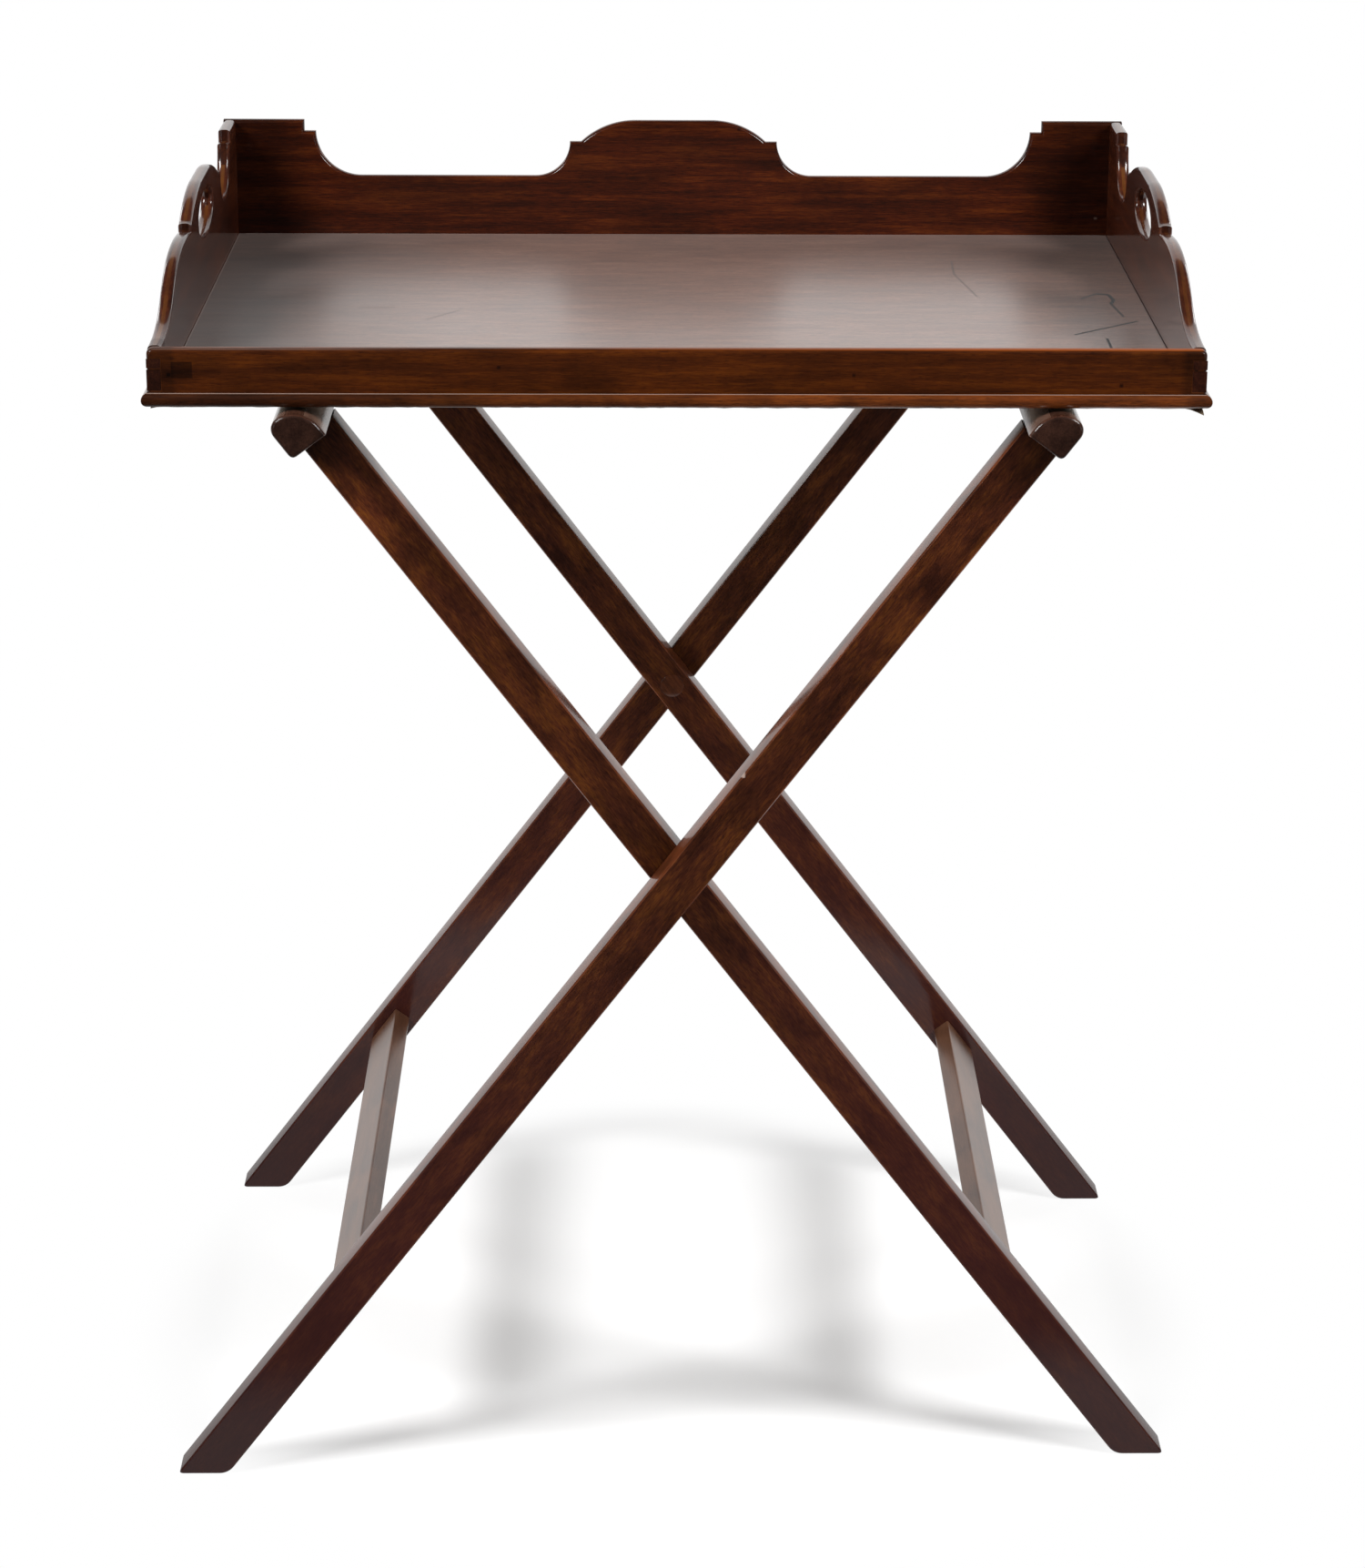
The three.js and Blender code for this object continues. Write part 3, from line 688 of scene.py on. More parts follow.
# The legs are blotched and short-grained under a thinner polish, redder and then dark towards the feet; the
# purplish red is partly painted light from the white floor. The two at the front have a patch of painted
# light below the tray and painted shade at the top under the rail, and the outer one has a chip on its arris.
INNER_LEG = FrenchPolishedMahogany(
    "polished_inner_leg",
    "34150A",
    "46200D",
    "5C300E",
    Grain.INNER_LEG,
    worn="804324",
    coat=0.6,
    figure_mm=(38.0, 12.0),
    streak_mm=(12.0, 1.8),
    fibre_mm=(5.0, 0.9),
    cloud_mm=(32.0, 16.0),
    cloud_shade=0.62,
    marks=(
        # Painted light: a warm, brighter patch on the front leg below the tray.
        Mark((-0.215, -0.215, 0.73), (0.008, 0.02, 0.012), 1.8, soft=30.0 * MM),
        # Painted shade at the leg's top, under the rail.
        Mark((-0.262, -0.215, 0.785), (0.01, 0.02, 0.01), 0.3, soft=26.0 * MM),
        # A purplish stain towards the feet, partly painted light from the white floor.
        Mark((0.3, 0.0, 0.02), (0.1, 0.3, 0.03), 0.3, soft=460.0 * MM, tint=FOOT_STAIN_AND_FLOOR_LIGHT),
        Mark((0.3, 0.0, 0.0), (0.1, 0.3, 0.03), 0.62, soft=130.0 * MM),
    ),
)
OUTER_LEG = replace(
    INNER_LEG,
    name="polished_outer_leg",
    grain=Grain.OUTER_LEG,
    marks=(
        # Painted light: a warm, brighter patch on the front leg below the tray.
        Mark((0.2, -0.23, 0.73), (0.03, 0.02, 0.03), 1.15, soft=60.0 * MM),
        # Painted shade at the leg's top, under the rail.
        Mark((0.262, -0.24, 0.785), (0.012, 0.02, 0.012), 0.35, soft=34.0 * MM),
        # A purplish stain towards the feet, partly painted light from the white floor.
        Mark((-0.3, 0.0, 0.02), (0.1, 0.3, 0.03), 0.3, soft=460.0 * MM, tint=FOOT_STAIN_AND_FLOOR_LIGHT),
        Mark((-0.3, 0.0, 0.0), (0.1, 0.3, 0.03), 0.55, soft=160.0 * MM),
        Mark((0.0454, -0.2435, 0.5498), (0.002, 0.0016, 0.0014), 0.05, soft=0.8 * MM, tint=DUST_AND_HIGHLIGHT),
    ),
)

# The top rails are a cooler, dustier brown with pale rubbed rims that also carry a painted highlight, and
# painted shade darkens the left one's end.
STAND_RAIL = FrenchPolishedMahogany(
    "polished_stand_rail",
    "3A2018",
    "4C2E22",
    "5E3B2D",
    Grain.TRAY_DEPTH,
    # The pale worn tone also paints a highlight along the rubbed rims.
    worn="8C6A5A",
    # Painted shade on the left rail's end.
    marks=(Mark((-0.26, -0.268, 0.81), (0.04, 0.004, 0.04), 0.72, soft=2.0 * MM),),
)

# The stretchers have lost their gloss and look pale and soft where the light grazes them.
STRETCHER = FrenchPolishedMahogany(
    "dulled_stretcher",
    "472718",
    "5A3825",
    "6E4733",
    Grain.TRAY_DEPTH,
    worn="7A5640",
    coat=0.82,
    coat_roughness=0.3,
)

# The pellets over the pivots are of a plainer piece of the legs' wood.
PELLET_WOOD = FrenchPolishedMahogany("polished_pellet", "35180C", "452210", "552B14", Grain.INNER_LEG)

# The cloth is faded and matt; its threads are drawn as specks of 2 mm, coarser than they are.
UNDERSIDE_CLOTH = PlainFinish("faded_underside_cloth", "75644F", 0.95, speck_mm=2.0, speck=0.4)

# Blackened and blued iron are dark and half dull, and tarnished brass is a dull brownish yellow.
PIN_IRON = PlainFinish("blackened_iron_pin", "3A3836", 0.5, metallic=1.0)
TACK_IRON = PlainFinish("blued_iron_tack", "34312F", 0.42, metallic=1.0)
WASHER_BRASS = PlainFinish("tarnished_brass_washer", "8A6B34", 0.45, metallic=1.0)


def finish_of(finish: PlainFinish | WovenWebbing) -> bpy.types.Material:
    """The material of a finish, made when it is first asked for."""
    return bpy.data.materials.get(finish.name) or finish.build()


def deselect_all() -> None:
    """Leaves edit mode and clears the selection."""
    if bpy.context.object and bpy.context.object.mode != "OBJECT":
        bpy.ops.object.mode_set(mode="OBJECT")
    bpy.ops.object.select_all(action="DESELECT")


def deselect_mesh(mesh: bpy.types.Mesh) -> None:
    """Clears the selection of a mesh outside edit mode."""
    for item in (*mesh.vertices, *mesh.edges, *mesh.polygons):
        item.select = False


def apply_modifier(piece: bpy.types.Object, kind: str, **settings: object) -> None:
    """Adds a modifier to a piece and applies it.

    Args:
        piece: The piece, which has to be the active object.
        kind: The modifier's type.
        **settings: The modifier's settings.
    """
    modifier = piece.modifiers.new(kind.title(), kind)
    for name, value in settings.items():
        setattr(modifier, name, value)
    bpy.ops.object.modifier_apply(modifier=modifier.name)


def dress(piece: bpy.types.Object, material: bpy.types.Material) -> None:
    """Gives a piece one material in place of any other."""
    piece.data.materials.clear()
    piece.data.materials.append(material)


def settle(piece: bpy.types.Object) -> None:
    """Puts a piece's place, turn and size into its mesh, and its object at the origin.

    Args:
        piece: The piece.
    """
    deselect_all()
    piece.select_set(True)
    bpy.context.view_layer.objects.active = piece
    bpy.ops.object.transform_apply(location=True, rotation=True, scale=True)


@dataclass(frozen=True)
class Wear:
    """Where hands have rubbed a piece: the faces that count as arrises.

    On a board they are all its edges. On other pieces they are long faces, slim like a chamfer, or sloping
    and turned upwards.
    """

    slim: float = 0.0
    upper_sides: bool = False
    board_axis: Point | None = None
    edge_facing: float = 0.2
    upper_facing: tuple[float, float] = (0.3, 0.95)
    shortest: float = 60.0 * MM

    def rubs(self, normal: Vector, longest: float, area: float) -> bool:
        """Whether a face is rubbed.

        Args:
            normal: The face's normal.
            longest: Its longest edge.
            area: Its area.

        Returns:
            True for an edge of a board, a slim chamfer and the upper side of a leg.
        """
        if self.board_axis is not None:
            return abs(normal.dot(Vector(self.board_axis))) < self.edge_facing
        lowest, highest = self.upper_facing
        upper = self.upper_sides and lowest < normal.z < highest
        return longest > self.shortest and (upper or area / longest < self.slim)


LEG_WEAR = Wear(slim=2.5 * MM, upper_sides=True)
LONG_BOARD_WEAR = Wear(board_axis=(0.0, 1.0, 0.0))
SHORT_BOARD_WEAR = Wear(board_axis=(1.0, 0.0, 0.0))


@dataclass
class Bench:
    """Where a packed wooden solid is copied, dressed cut by cut and given softened arrises."""

    frame: dict
    arris: float
    weld: float = 0.005 * MM
    flat_angle: float = math.radians(0.5)
    arris_angle: float = math.radians(50.0)
    smooth_angle: float = math.radians(48.0)

    def copy(self, node: str, name: str, finish: FrenchPolishedMahogany, wear: Wear) -> bpy.types.Object:
        """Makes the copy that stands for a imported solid.

        Args:
            node: The solid's name.
            name: The new piece's name.
            finish: The wood's finish.
            wear: Where it is rubbed.

        Returns:
            The new piece.
        """
        deselect_all()
        source = self.frame["nodes"][node]
        source.select_set(True)
        bpy.context.view_layer.objects.active = source
        bpy.ops.object.duplicate()
        piece = bpy.context.view_layer.objects.active
        bpy.ops.object.parent_clear(type="CLEAR_KEEP_TRANSFORM")
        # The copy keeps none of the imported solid's own tags.
        for key in list(piece.keys()):
            del piece[key]
        piece.name = name
        bpy.ops.object.mode_set(mode="EDIT")
        bpy.ops.mesh.select_all(action="SELECT")
        bpy.ops.mesh.remove_doubles(threshold=self.weld)
        bpy.ops.mesh.dissolve_limited(angle_limit=self.flat_angle)
        bpy.ops.object.mode_set(mode="OBJECT")
        self._dress(piece, finish, wear)
        apply_modifier(
            piece,
            "BEVEL",
            width=self.arris,
            segments=2,
            limit_method="ANGLE",
            angle_limit=self.arris_angle,
            use_clamp_overlap=True,
            material=Cut.ARRIS.value,
        )
        bpy.ops.object.shade_smooth_by_angle(angle=self.smooth_angle)
        apply_modifier(piece, "WEIGHTED_NORMAL", mode="FACE_AREA", keep_sharp=True)
        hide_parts(node)
        return piece

    def _dress(self, piece: bpy.types.Object, finish: FrenchPolishedMahogany, wear: Wear) -> None:
        """Gives each face of a piece the material of its cut.

        Args:
            piece: The piece.
            finish: The wood's finish.
            wear: Where it is rubbed.
        """
        piece.data.materials.clear()
        for cut in Cut:
            piece.data.materials.append(finish.material(cut))
        for face in piece.data.polygons:
            across = abs(face.normal.dot(finish.grain.direction())) > FACING
            corners = [piece.data.vertices[at].co for at in face.vertices]
            sides = zip(corners, corners[1:] + corners[:1])
            longest = max((first - second).length for first, second in sides)
            rubbed = wear.rubs(face.normal, longest, face.area)
            cut = Cut.END_GRAIN if across else Cut.ARRIS if rubbed else Cut.LONG_GRAIN
            face.material_index = cut.value


@dataclass
class Tray:
    """The tray: floor, gallery, mouldings and the cloth under it."""

    frame: dict
    arris: float = 0.35 * MM
    lining_size: tuple[float, float] = (0.7105, 0.5105)
    lining_steps: tuple[int, int] = (180, 130)
    lining_top: float = 0.8175
    lining_thickness: float = 0.5 * MM
    ragged: float = 1.4 * MM
    tufts_per_metre: float = 140.0
    edge_reach: float = 0.5 * MM
    corner_drop: float = 5.0 * MM
    corner_curl: float = 1.3
    left_drop_share: float = 0.3
    left_reach: float = 7.0 * MM
    right_reach: float = 13.0 * MM

    def build(self) -> None:
        """Builds and dresses every piece of the tray."""
        woods = {
            "base_board": ("floor_board", TRAY_FLOOR, Wear()),
            "gallery_front": ("front_rail", FRONT_RAIL, LONG_BOARD_WEAR),
            "gallery_back": ("back_board", BACK_BOARD, LONG_BOARD_WEAR),
            "gallery_left": ("left_board", SIDE_BOARD, SHORT_BOARD_WEAR),
            "gallery_right": ("right_board", SIDE_BOARD, SHORT_BOARD_WEAR),
            "moulding_front": ("front_moulding", FRONT_MOULDING, Wear()),
            "moulding_back": ("rear_moulding", LONG_MOULDING, Wear()),
            "moulding_left": ("left_moulding", SHORT_MOULDING, Wear()),
            "moulding_right": ("right_moulding", SHORT_MOULDING, Wear()),
        }
        bench = Bench(self.frame, self.arris)
        for node, (name, finish, wear) in woods.items():
            piece = bench.copy(node, name, finish, wear)
            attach(piece, "tray")
            log.info("built %s", name)
        self._lining()

    def _lining(self) -> None:
        """Lays the cloth that is glued under the tray, with a ragged edge and two loose front corners."""
        deselect_all()
        across, deep = self.lining_steps
        bpy.ops.mesh.primitive_grid_add(x_subdivisions=across, y_subdivisions=deep, size=1.0)
        cloth = bpy.context.object
        cloth.name = "underside_cloth"
        width, depth = self.lining_size
        for vertex in cloth.data.vertices:
            x, y = vertex.co.x * width, vertex.co.y * depth
            tuft = self.ragged * noise.noise(Vector((x, y, 0.0)) * self.tufts_per_metre)
            inward = min(width / 2.0 - abs(x), depth / 2.0 - abs(y))
            if inward < self.edge_reach:
                shrink = 1.0 - (self.ragged - tuft) / max(abs(x), abs(y))
                x, y = x * shrink, y * shrink
            corner = Vector((width / 2.0 - abs(x), y + depth / 2.0, 0.0)).length
            reach = self.right_reach if x > 0.0 else self.left_reach
            loose = max(0.0, 1.0 - corner / reach) ** self.corner_curl
            drop = self.corner_drop * loose * (1.0 if x > 0.0 else self.left_drop_share)
            vertex.co = Vector((x, y, self.lining_top - self.lining_thickness / 2.0 - drop))
        apply_modifier(cloth, "SOLIDIFY", thickness=self.lining_thickness, offset=0.0)
        dress(cloth, finish_of(UNDERSIDE_CLOTH))
        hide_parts("base_lining")
        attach(cloth, "tray")
        log.info("built underside_cloth")


@dataclass(frozen=True)
class RailSection:
    """Section of a top rail in its frame's own plane: x across the rail, z up the legs from the pivot."""

    base: float = 411.74 * MM
    width: float = 29.0 * MM
    height: float = 28.6 * MM
    crest_setback: float = 8.6 * MM
    inner_flank: float = 6.0 * MM
    outer_flank: float = 20.0 * MM
    strap_start: float = 7.0 * MM
    outer_steps: int = 14
    inner_steps: int = 8

    def crest(self, angle: float, offset: float) -> tuple[float, float]:
        """A point over the rail's crest.

        Args:
            angle: Turn from the crest, negative towards the outside.
            offset: Distance off the wood.

        Returns:
            x and z in the frame's own plane.
        """
        run = self.crest_setback if angle < 0.0 else self.width - self.crest_setback
        fall = self.height - (self.outer_flank if angle < 0.0 else self.inner_flank)
        across, up = math.sin(angle) / run, math.cos(angle) / fall
        size = math.hypot(across, up)
        return (
            self.crest_setback - self.width / 2.0 + run * math.sin(angle) + offset * across / size,
            self.base + self.height - fall + fall * math.cos(angle) + offset * up / size,
        )

    def standing(self, across: float, up: float) -> tuple[float, float]:
        """Turns a point of the left rail's own plane to the standing part.

        Args:
            across: Its place across the rail.
            up: Its place up the legs from the pivot.

        Returns:
            X and Z in the standing part.
        """
        return (
            across * math.cos(LEG_ANGLE) - up * math.sin(LEG_ANGLE),
            PIVOT_HEIGHT + across * math.sin(LEG_ANGLE) + up * math.cos(LEG_ANGLE),
        )

    def run(self, offset: float) -> list[tuple[float, float]]:
        """The strap's way over both rails, from its left end to its right end.

        Args:
            offset: Distance off the wood.

        Returns:
            Points in the standing part's X and Z.
        """
        fall, width = self.height - self.inner_flank, self.width - self.crest_setback
        touching = math.atan2(width * math.sin(LEG_ANGLE), fall * math.cos(LEG_ANGLE))
        rises = [-math.pi / 2.0 * (1.0 - step / self.outer_steps) for step in range(self.outer_steps)]
        falls = [touching * step / self.inner_steps for step in range(self.inner_steps + 1)]
        left = [(-self.width / 2.0 - offset, self.base + self.strap_start)]
        left += [self.crest(angle, offset) for angle in rises + falls]
        standing = [self.standing(across, up) for across, up in left]
        return standing + [(-x, z) for x, z in reversed(standing)]


def along_run(run: list[tuple[float, float]], distance: float) -> tuple[float, float]:
    """The point at a distance along a run of straight steps.

    Args:
        run: Points of the run.
        distance: Distance from its first point.

    Returns:
        The point, held at the run's last one.
    """
    for (x0, z0), (x1, z1) in zip(run, run[1:]):
        step = math.hypot(x1 - x0, z1 - z0)
        if distance <= step:
            share = distance / step
            return (x0 + share * (x1 - x0), z0 + share * (z1 - z0))
        distance -= step
    return run[-1]


@dataclass
class Straps:
    """The three webbing straps that stop the stand from opening further, and their tacks."""

    frame: dict
    section: RailSection
    width: float = 50.0 * MM
    thickness: float = 1.0 * MM
    clearance: float = 0.3 * MM
    spacing: float = 160.0 * MM
    steps: tuple[int, int] = (190, 10)
    tack_radius: float = 3.2 * MM
    tack_rise: float = 1.1 * MM
    tack_sides: int = 14
    tack_rim_share: float = 0.3
    tack_dome_shares: tuple[tuple[float, float], ...] = ((0.72, 0.42), (0.4, 0.22))
    tacks_across: int = 4
    tack_spread_share: float = 0.76
    tack_inset: float = 4.5 * MM

    def build(self) -> None:
        """Builds the straps and both rows of tacks."""
        run = self.section.run(self.clearance + self.thickness / 2.0)
        for index, word in enumerate(("front", "middle", "back")):
            self._strap(run, word, (index - 1) * self.spacing)
        self._tacks("inner", "inner_frame", -1.0)
        self._tacks("outer", "outer_frame", 1.0)

    def _strap(self, run: list[tuple[float, float]], word: str, y: float) -> None:
        """Builds one strap.

        Args:
            run: The strap's way over the rails.
            word: Where it lies.
            y: Its place along the rails.
        """
        length = sum(math.dist(first, second) for first, second in zip(run, run[1:]))
        deselect_all()
        along, across = self.steps
        bpy.ops.mesh.primitive_grid_add(x_subdivisions=along, y_subdivisions=across, size=1.0)
        strap = bpy.context.object
        strap.name = f"webbing_strap_{word}"
        for loop, corner in zip(strap.data.loops, strap.data.uv_layers.active.data):
            flat = strap.data.vertices[loop.vertex_index].co
            corner.uv = ((flat.x + 0.5) * length, (flat.y + 0.5) * self.width)
        for vertex in strap.data.vertices:
            x, z = along_run(run, (vertex.co.x + 0.5) * length)
            vertex.co = Vector((x, y + vertex.co.y * self.width, z))
        apply_modifier(strap, "SOLIDIFY", thickness=self.thickness, offset=0.0)
        bpy.ops.object.shade_smooth_by_angle(angle=math.radians(40.0))
        dress(strap, finish_of(WovenWebbing(width=self.width)))
        node = f"strap_{word}"
        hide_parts(node)
        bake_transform(strap)
        log.info("built %s", strap.name)

    def _tacks(self, word: str, body: str, side: float) -> None:
        """Drives a row of domed tacks through each strap's end on one rail.

        Args:
            word: The rail.
            body: The body that the tacks ride on.
            side: -1 for the left rail and 1 for the right one.
        """
        own_x = -self.section.width / 2.0 - self.clearance - self.thickness
        x, z = self.section.standing(own_x, self.section.base + self.section.strap_start + self.tack_inset)
        out = Vector((side * math.cos(LEG_ANGLE), 0.0, -math.sin(LEG_ANGLE)))
        gaps = self.tacks_across - 1
        shares = [(tack / gaps - 0.5) * self.tack_spread_share for tack in range(self.tacks_across)]
        heads = [
            self._tack_head(Vector((-side * x, strap * self.spacing + share * self.width, z)), out)
            for strap in (-1, 0, 1)
            for share in shares
        ]
        deselect_all()
        for head in heads:
            head.select_set(True)
        bpy.context.view_layer.objects.active = heads[0]
        bpy.ops.object.join()
        row = bpy.context.object
        row.name = f"strap_tacks_{word}"
        dress(row, finish_of(TACK_IRON))
        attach(row, body)
        log.info("built %s", row.name)

    def _tack_head(self, place: Vector, out: Vector) -> bpy.types.Object:
        """Makes one domed head.

        Args:
            place: Middle of its underside.
            out: The way that it faces.

        Returns:
            The head, settled in place.
        """
        deselect_all()
        bpy.ops.mesh.primitive_cylinder_add(
            vertices=self.tack_sides, radius=self.tack_radius, depth=self.tack_rim_share * self.tack_rise
        )
        head = bpy.context.object
        for share, rise_share in self.tack_dome_shares:
            bpy.ops.object.mode_set(mode="OBJECT")
            top = max(vertex.co.z for vertex in head.data.vertices)
            deselect_mesh(head.data)
            for face in head.data.polygons:
                face.select = face.normal.z > FACING and face.center.z > top - TOUCH
            bpy.ops.object.mode_set(mode="EDIT")
            rise = (0.0, 0.0, rise_share * self.tack_rise)
            bpy.ops.mesh.extrude_region_move(TRANSFORM_OT_translate={"value": rise})
            bpy.ops.transform.resize(value=(share, share, 1.0))
        bpy.ops.object.mode_set(mode="OBJECT")
        head.rotation_euler = out.to_track_quat("Z", "Y").to_euler()
        head.location = place
        settle(head)
        bpy.ops.object.shade_smooth_by_angle(angle=math.radians(60.0))
        return head


@dataclass
class StandFrame:
    """One frame of the stand: two legs, a top rail and a stretcher."""

    frame: dict
    body: str
    word: str
    leg_finish: FrenchPolishedMahogany
    arris: float = 0.6 * MM

    def build(self) -> None:
        """Builds and dresses the frame's pieces."""
        woods = {
            f"{self.word}_leg_front": self.leg_finish,
            f"{self.word}_leg_back": self.leg_finish,
            f"{self.word}_top_rail": STAND_RAIL,
            f"{self.word}_stretcher": STRETCHER,
        }
        bench = Bench(self.frame, self.arris)
        for node, finish in woods.items():
            name = "_".join([*node.split("_")[1:], self.word])
            piece = bench.copy(node, name, finish, LEG_WEAR)
            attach(piece, self.body)
            log.info("built %s", name)


@dataclass
class Pivots:
    """The iron pins and brass washers, and the wooden pellets that hide the pins on the inner legs."""

    frame: dict
    pellet_radius: float = 9.5 * MM
    pellet_rise: float = 0.25 * MM
    pellet_sides: int = 48
    leg_face: float = 195.9 * MM

    def build(self) -> None:
        """Dresses the metal and builds the pellets."""
        for word in ("front", "back"):
            for node, finish in ((f"pivot_pin_{word}", PIN_IRON), (f"pivot_washer_{word}", WASHER_BRASS)):
                dress(self.frame["nodes"][node], finish_of(finish))
                log.info("dressed %s", node)
        self._pellet("front", -1.0)
        self._pellet("back", 1.0)

    def _pellet(self, word: str, side: float) -> None:
        """Builds one pellet, a thin round plug just proud of the inner leg.

        Args:
            word: The leg.
            side: -1 for the front leg and 1 for the back one.
        """
        deselect_all()
        bpy.ops.mesh.primitive_cylinder_add(
            vertices=self.pellet_sides,
            radius=self.pellet_radius,
            depth=2.0 * self.pellet_rise,
            location=(0.0, side * self.leg_face, PIVOT_HEIGHT),
            rotation=(math.radians(90.0), 0.0, 0.0),
        )
        pellet = bpy.context.object
        pellet.name = f"pivot_pellet_{word}"
        softening = 0.5 * self.pellet_rise
        apply_modifier(pellet, "BEVEL", width=softening, segments=2, angle_limit=math.radians(60.0))
        settle(pellet)
        bpy.ops.object.shade_smooth_by_angle(angle=math.radians(50.0))
        dress(pellet, PELLET_WOOD.material(Cut.LONG_GRAIN))
        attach(pellet, "inner_frame")
        log.info("built %s", pellet.name)


@dataclass(frozen=True)
class Softbox:
    """A lamp behind a white cloth, turned to the stand."""

    name: str
    place: Point
    size: tuple[float, float]
    power: float
    aim: Point = (0.0, 0.0, 0.4)

    def hang(self) -> None:
        """Hangs the lamp."""
        deselect_all()
        bpy.ops.object.light_add(type="AREA", location=self.place)
        lamp = bpy.context.object
        lamp.name = self.name
        lamp.rotation_euler = (Vector(self.aim) - Vector(self.place)).to_track_quat("-Z", "Y").to_euler()
        lamp.data.shape = "RECTANGLE"
        lamp.data.size, lamp.data.size_y = self.size
        lamp.data.energy = self.power


# One lamp on each side, above and a little before the stand, gives the light. Two low dim ones further to the
# front reach in under the tray, and two dim ones stand behind.
SOFTBOXES = (
    Softbox("left_softbox", (-1.9, -1.25, 2.35), (0.8, 0.9), 65.0),
    Softbox("right_softbox", (1.9, -1.25, 2.35), (0.8, 0.9), 61.0),
    Softbox("low_left_softbox", (-2.4, -2.6, 0.6), (0.7, 0.7), 7.0),
    Softbox("low_right_softbox", (2.4, -2.6, 0.6), (0.7, 0.7), 7.0),
    Softbox("rear_left_softbox", (-2.4, 2.3, 1.9), (0.8, 0.8), 10.0),
    Softbox("rear_right_softbox", (2.4, 2.3, 1.9), (0.8, 0.8), 10.0),
)


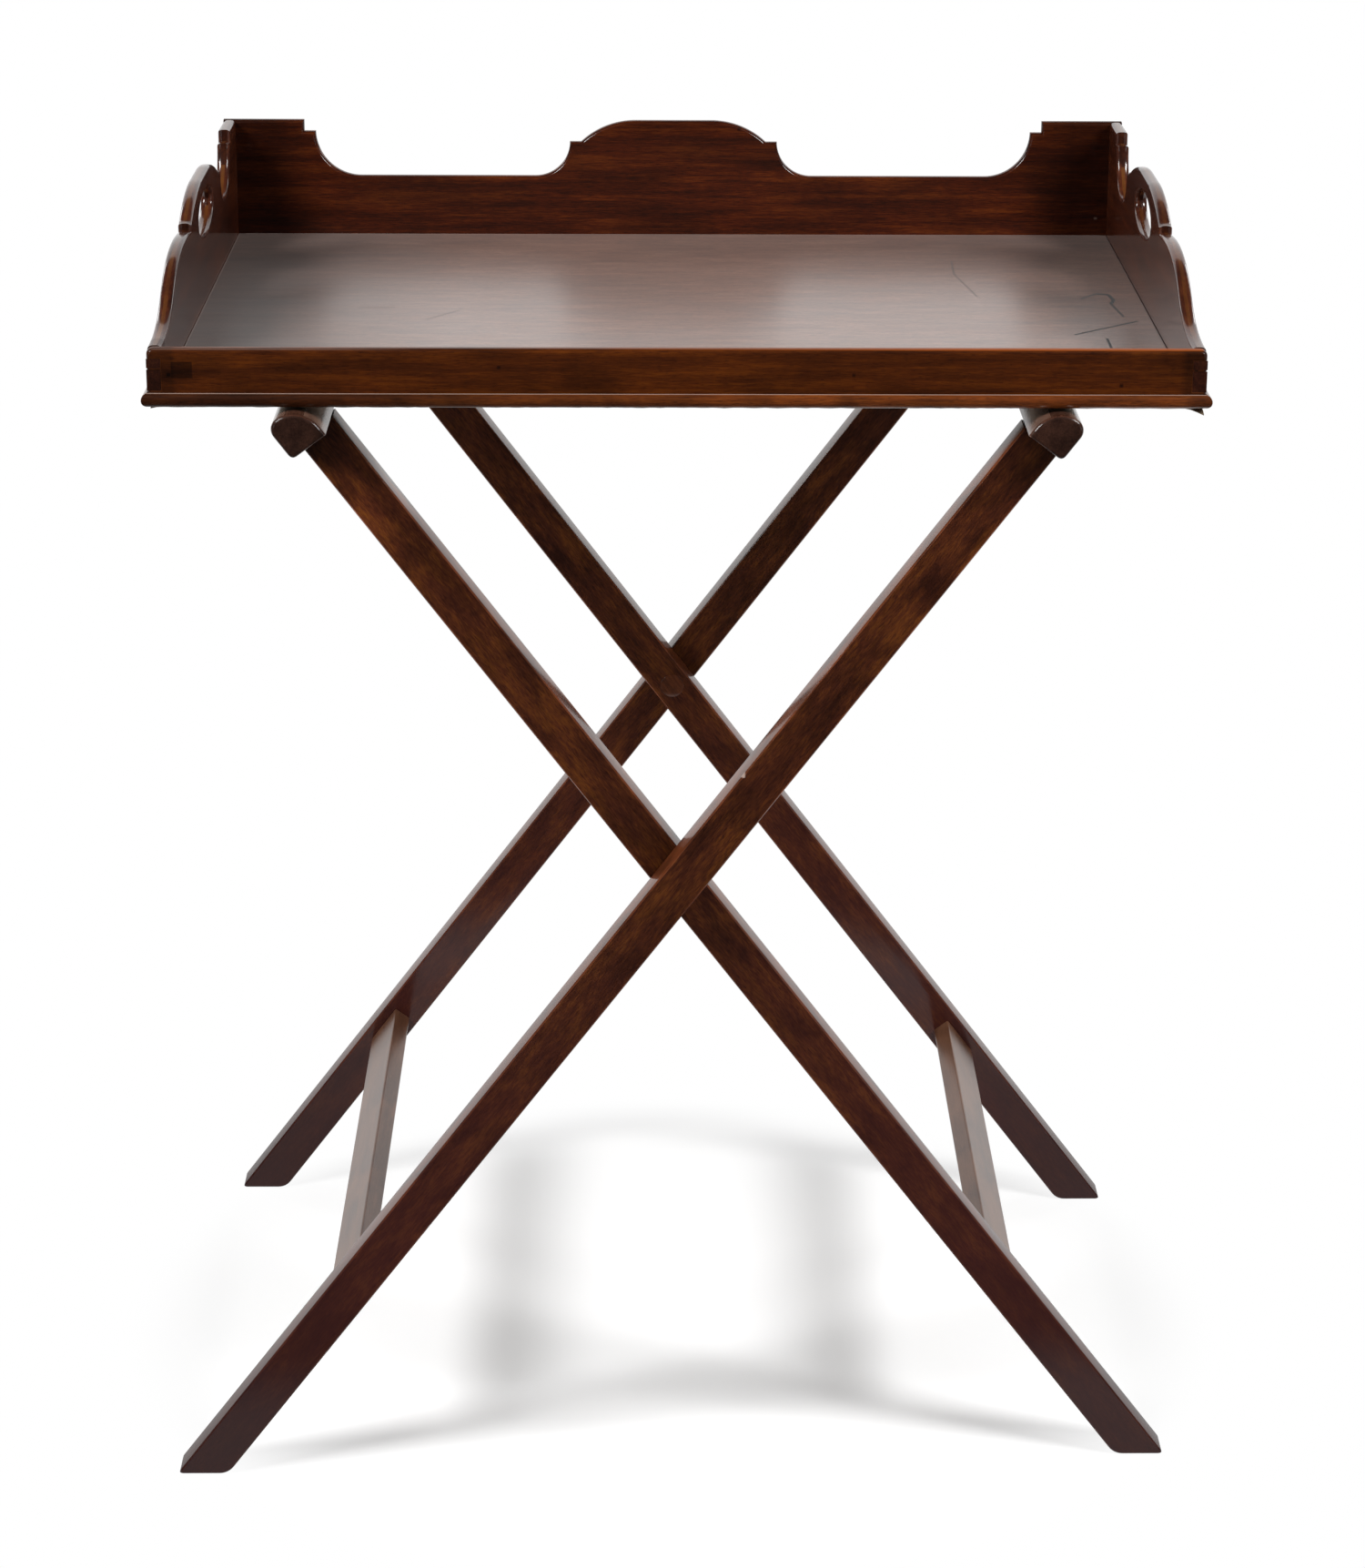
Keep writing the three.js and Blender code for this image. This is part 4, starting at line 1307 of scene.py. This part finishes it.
@dataclass(frozen=True)
class Paper:
    """The white paper under the stand, which rises far behind it.

    It takes the stand's shadow, and beyond that it is plain white to the camera. Its front part lights the
    legs from below but isn't mirrored in them, and from below the paper doesn't hide the stand.
    """

    front: float = -3.4
    rise: float = 5.5
    top: float = 6.0
    half_width: float = 5.0
    curve: float = 1.2
    curve_steps: int = 10
    tone: float = 0.8
    camera_tone: float = 1.12
    front_mirrored_tone: float = 0.015
    front_edge: tuple[float, float] = (-0.42, -0.27)
    shadow_half_size: tuple[float, float] = (0.46, 0.42)
    shadow_fade: tuple[float, float] = (0.62, 0.95)

    def lay(self) -> None:
        """Lays the paper."""
        deselect_all()
        bpy.ops.mesh.primitive_plane_add(size=2.0, location=(0.0, 0.0, 0.0))
        paper = bpy.context.object
        paper.name = "studio_paper"
        bpy.ops.object.mode_set(mode="EDIT")
        bpy.ops.transform.resize(value=(self.half_width, (self.rise - self.front) / 2.0, 1.0))
        bpy.ops.transform.translate(value=(0.0, (self.rise + self.front) / 2.0, 0.0))
        bpy.ops.object.mode_set(mode="OBJECT")
        deselect_mesh(paper.data)
        for vertex in paper.data.vertices:
            vertex.select = vertex.co.y > 0.0
        for edge in paper.data.edges:
            edge.select = all(paper.data.vertices[at].select for at in edge.vertices)
        bpy.ops.object.mode_set(mode="EDIT")
        bpy.ops.mesh.extrude_region_move(TRANSFORM_OT_translate={"value": (0.0, 0.0, self.top)})
        bpy.ops.object.mode_set(mode="OBJECT")
        apply_modifier(paper, "BEVEL", width=self.curve, segments=self.curve_steps, limit_method="ANGLE")
        dress(paper, self._material())

    def _material(self) -> bpy.types.Material:
        """Makes the paper's material.

        Returns:
            The finished material.
        """
        material = new_material("white_background_paper")
        tree = material.node_tree
        rays = add_node(tree, "LightPath").outputs
        place = add_node(tree, "TexCoord").outputs["Object"]
        split = add_node(tree, "SeparateXYZ", {"Vector": place})
        nearest, furthest = self.front_edge
        behind = add_node(
            tree,
            "MapRange",
            {"Value": split.outputs["Y"], "From Min": nearest, "From Max": furthest},
            interpolation_type="SMOOTHSTEP",
        ).outputs["Result"]
        half_width, half_depth = self.shadow_half_size
        scale = (1.0 / half_width, 1.0 / half_depth, 1.0)
        reach = add_node(tree, "Mapping", {"Vector": place, "Scale": scale})
        distance = add_node(tree, "VectorMath", {0: reach.outputs["Vector"]}, operation="LENGTH")
        starts, ends = self.shadow_fade
        beyond = add_node(
            tree,
            "MapRange",
            {"Value": distance.outputs["Value"], "From Min": starts, "From Max": ends},
            interpolation_type="SMOOTHSTEP",
        ).outputs["Result"]
        reflected = {0: rays["Is Glossy Ray"], 1: rays["Is Transmission Ray"]}
        mirrored = add_node(tree, "Math", reflected, operation="MAXIMUM").outputs["Value"]
        before = add_node(tree, "Math", {0: 1.0, 1: behind}, operation="SUBTRACT").outputs["Value"]
        dim = add_node(tree, "Math", {0: before, 1: mirrored}, operation="MULTIPLY").outputs["Value"]
        tone = grey(self.tone)
        for factor, other in ((rays["Is Camera Ray"], self.camera_tone), (dim, self.front_mirrored_tone)):
            inputs = {"Factor": factor, "A": tone, "B": grey(other)}
            tone = add_node(tree, "Mix", inputs, data_type="RGBA").outputs["Result"]
        lit = add_node(tree, "BsdfDiffuse", {"Color": tone})
        backdrop = add_node(tree, "Math", {0: mirrored, 1: behind}, operation="MULTIPLY").outputs["Value"]
        viewed = {0: rays["Is Camera Ray"], 1: backdrop}
        seen = add_node(tree, "Math", viewed, operation="MAXIMUM").outputs["Value"]
        cleared = add_node(tree, "Math", {0: beyond, 1: seen}, operation="MULTIPLY").outputs["Value"]
        white = add_node(tree, "Emission", {"Color": grey(1.0), "Strength": 1.0})
        faces = {"Fac": cleared, 1: lit.outputs["BSDF"], 2: white.outputs["Emission"]}
        surface = add_node(tree, "MixShader", faces)
        side = add_node(tree, "NewGeometry")
        under = {0: rays["Is Camera Ray"], 1: side.outputs["Backfacing"]}
        below = add_node(tree, "Math", under, operation="MULTIPLY").outputs["Value"]
        clear = add_node(tree, "BsdfTransparent")
        sides = {"Fac": below, 1: surface.outputs["Shader"], 2: clear.outputs["BSDF"]}
        see_through = add_node(tree, "MixShader", sides)
        add_node(tree, "OutputMaterial", {"Surface": see_through.outputs["Shader"]})
        material.cycles.emission_sampling = "NONE"
        return material


@dataclass
class Studio:
    """The camera, lamps, paper and air. The camera's place and lens are fitted to the photograph."""

    camera_place: Point = (-0.0205, -2.6991, 1.4697)
    yaw: float = math.radians(-0.94)
    pitch: float = math.radians(-17.28)
    roll: float = math.radians(-0.34)
    focal_px: float = 4134.0
    photo_height_px: float = 1723.0
    axis_px: tuple[float, float] = (25.9, -244.6)
    sensor: float = 36.0
    far_clip: float = 60.0
    air_level: float = 0.04

    def build(self) -> None:
        """Sets up the camera, the lamps, the paper and the world."""
        self._camera()
        for softbox in SOFTBOXES:
            softbox.hang()
        Paper().lay()
        self._world()
        bpy.context.scene.view_settings.view_transform = "Standard"

    def _camera(self) -> None:
        """Puts the camera where the photograph was taken from."""
        deselect_all()
        bpy.ops.object.camera_add(location=self.camera_place)
        camera = bpy.context.object
        turn = (
            Matrix.Rotation(self.yaw, 3, "Z")
            @ Matrix.Rotation(self.pitch, 3, "X")
            @ Matrix.Rotation(self.roll, 3, "Y")
        )
        right, forward, up = (turn @ Vector(axis) for axis in ((1, 0, 0), (0, 1, 0), (0, 0, 1)))
        facing = Matrix((right, up, -forward)).transposed().to_4x4()
        camera.matrix_world = Matrix.Translation(self.camera_place) @ facing
        camera.data.sensor_width = self.sensor
        camera.data.lens = self.focal_px * self.sensor / self.photo_height_px
        camera.data.shift_x = -self.axis_px[0] / self.photo_height_px
        camera.data.shift_y = self.axis_px[1] / self.photo_height_px
        camera.data.clip_end = self.far_clip
        bpy.context.scene.camera = camera

    def _world(self) -> None:
        """Makes the air white to the camera and a dim grey to the object, as in a studio."""
        world = bpy.data.worlds.new("studio_air")
        bpy.context.scene.world = world
        world.cycles.sampling_method = "NONE"
        world.use_nodes = True
        tree = world.node_tree
        tree.nodes.clear()
        rays = add_node(tree, "LightPath")
        levels = {"Factor": rays.outputs["Is Camera Ray"], "A": self.air_level, "B": 1.0}
        level = add_node(tree, "Mix", levels, data_type="FLOAT").outputs["Result"]
        air = add_node(tree, "Background", {"Color": grey(1.0), "Strength": level})
        add_node(tree, "OutputWorld", {"Surface": air.outputs["Background"]})


def main() -> None:
    """Builds the scene in order."""
    logging.basicConfig(level=logging.INFO, format="%(name)s: %(message)s")
    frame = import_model()
    Studio().build()
    Tray(frame).build()
    StandFrame(frame, "inner_frame", "inner", INNER_LEG).build()
    StandFrame(frame, "outer_frame", "outer", OUTER_LEG).build()
    Pivots(frame).build()
    Straps(frame, RailSection()).build()


if __name__ == "__main__":
    main()
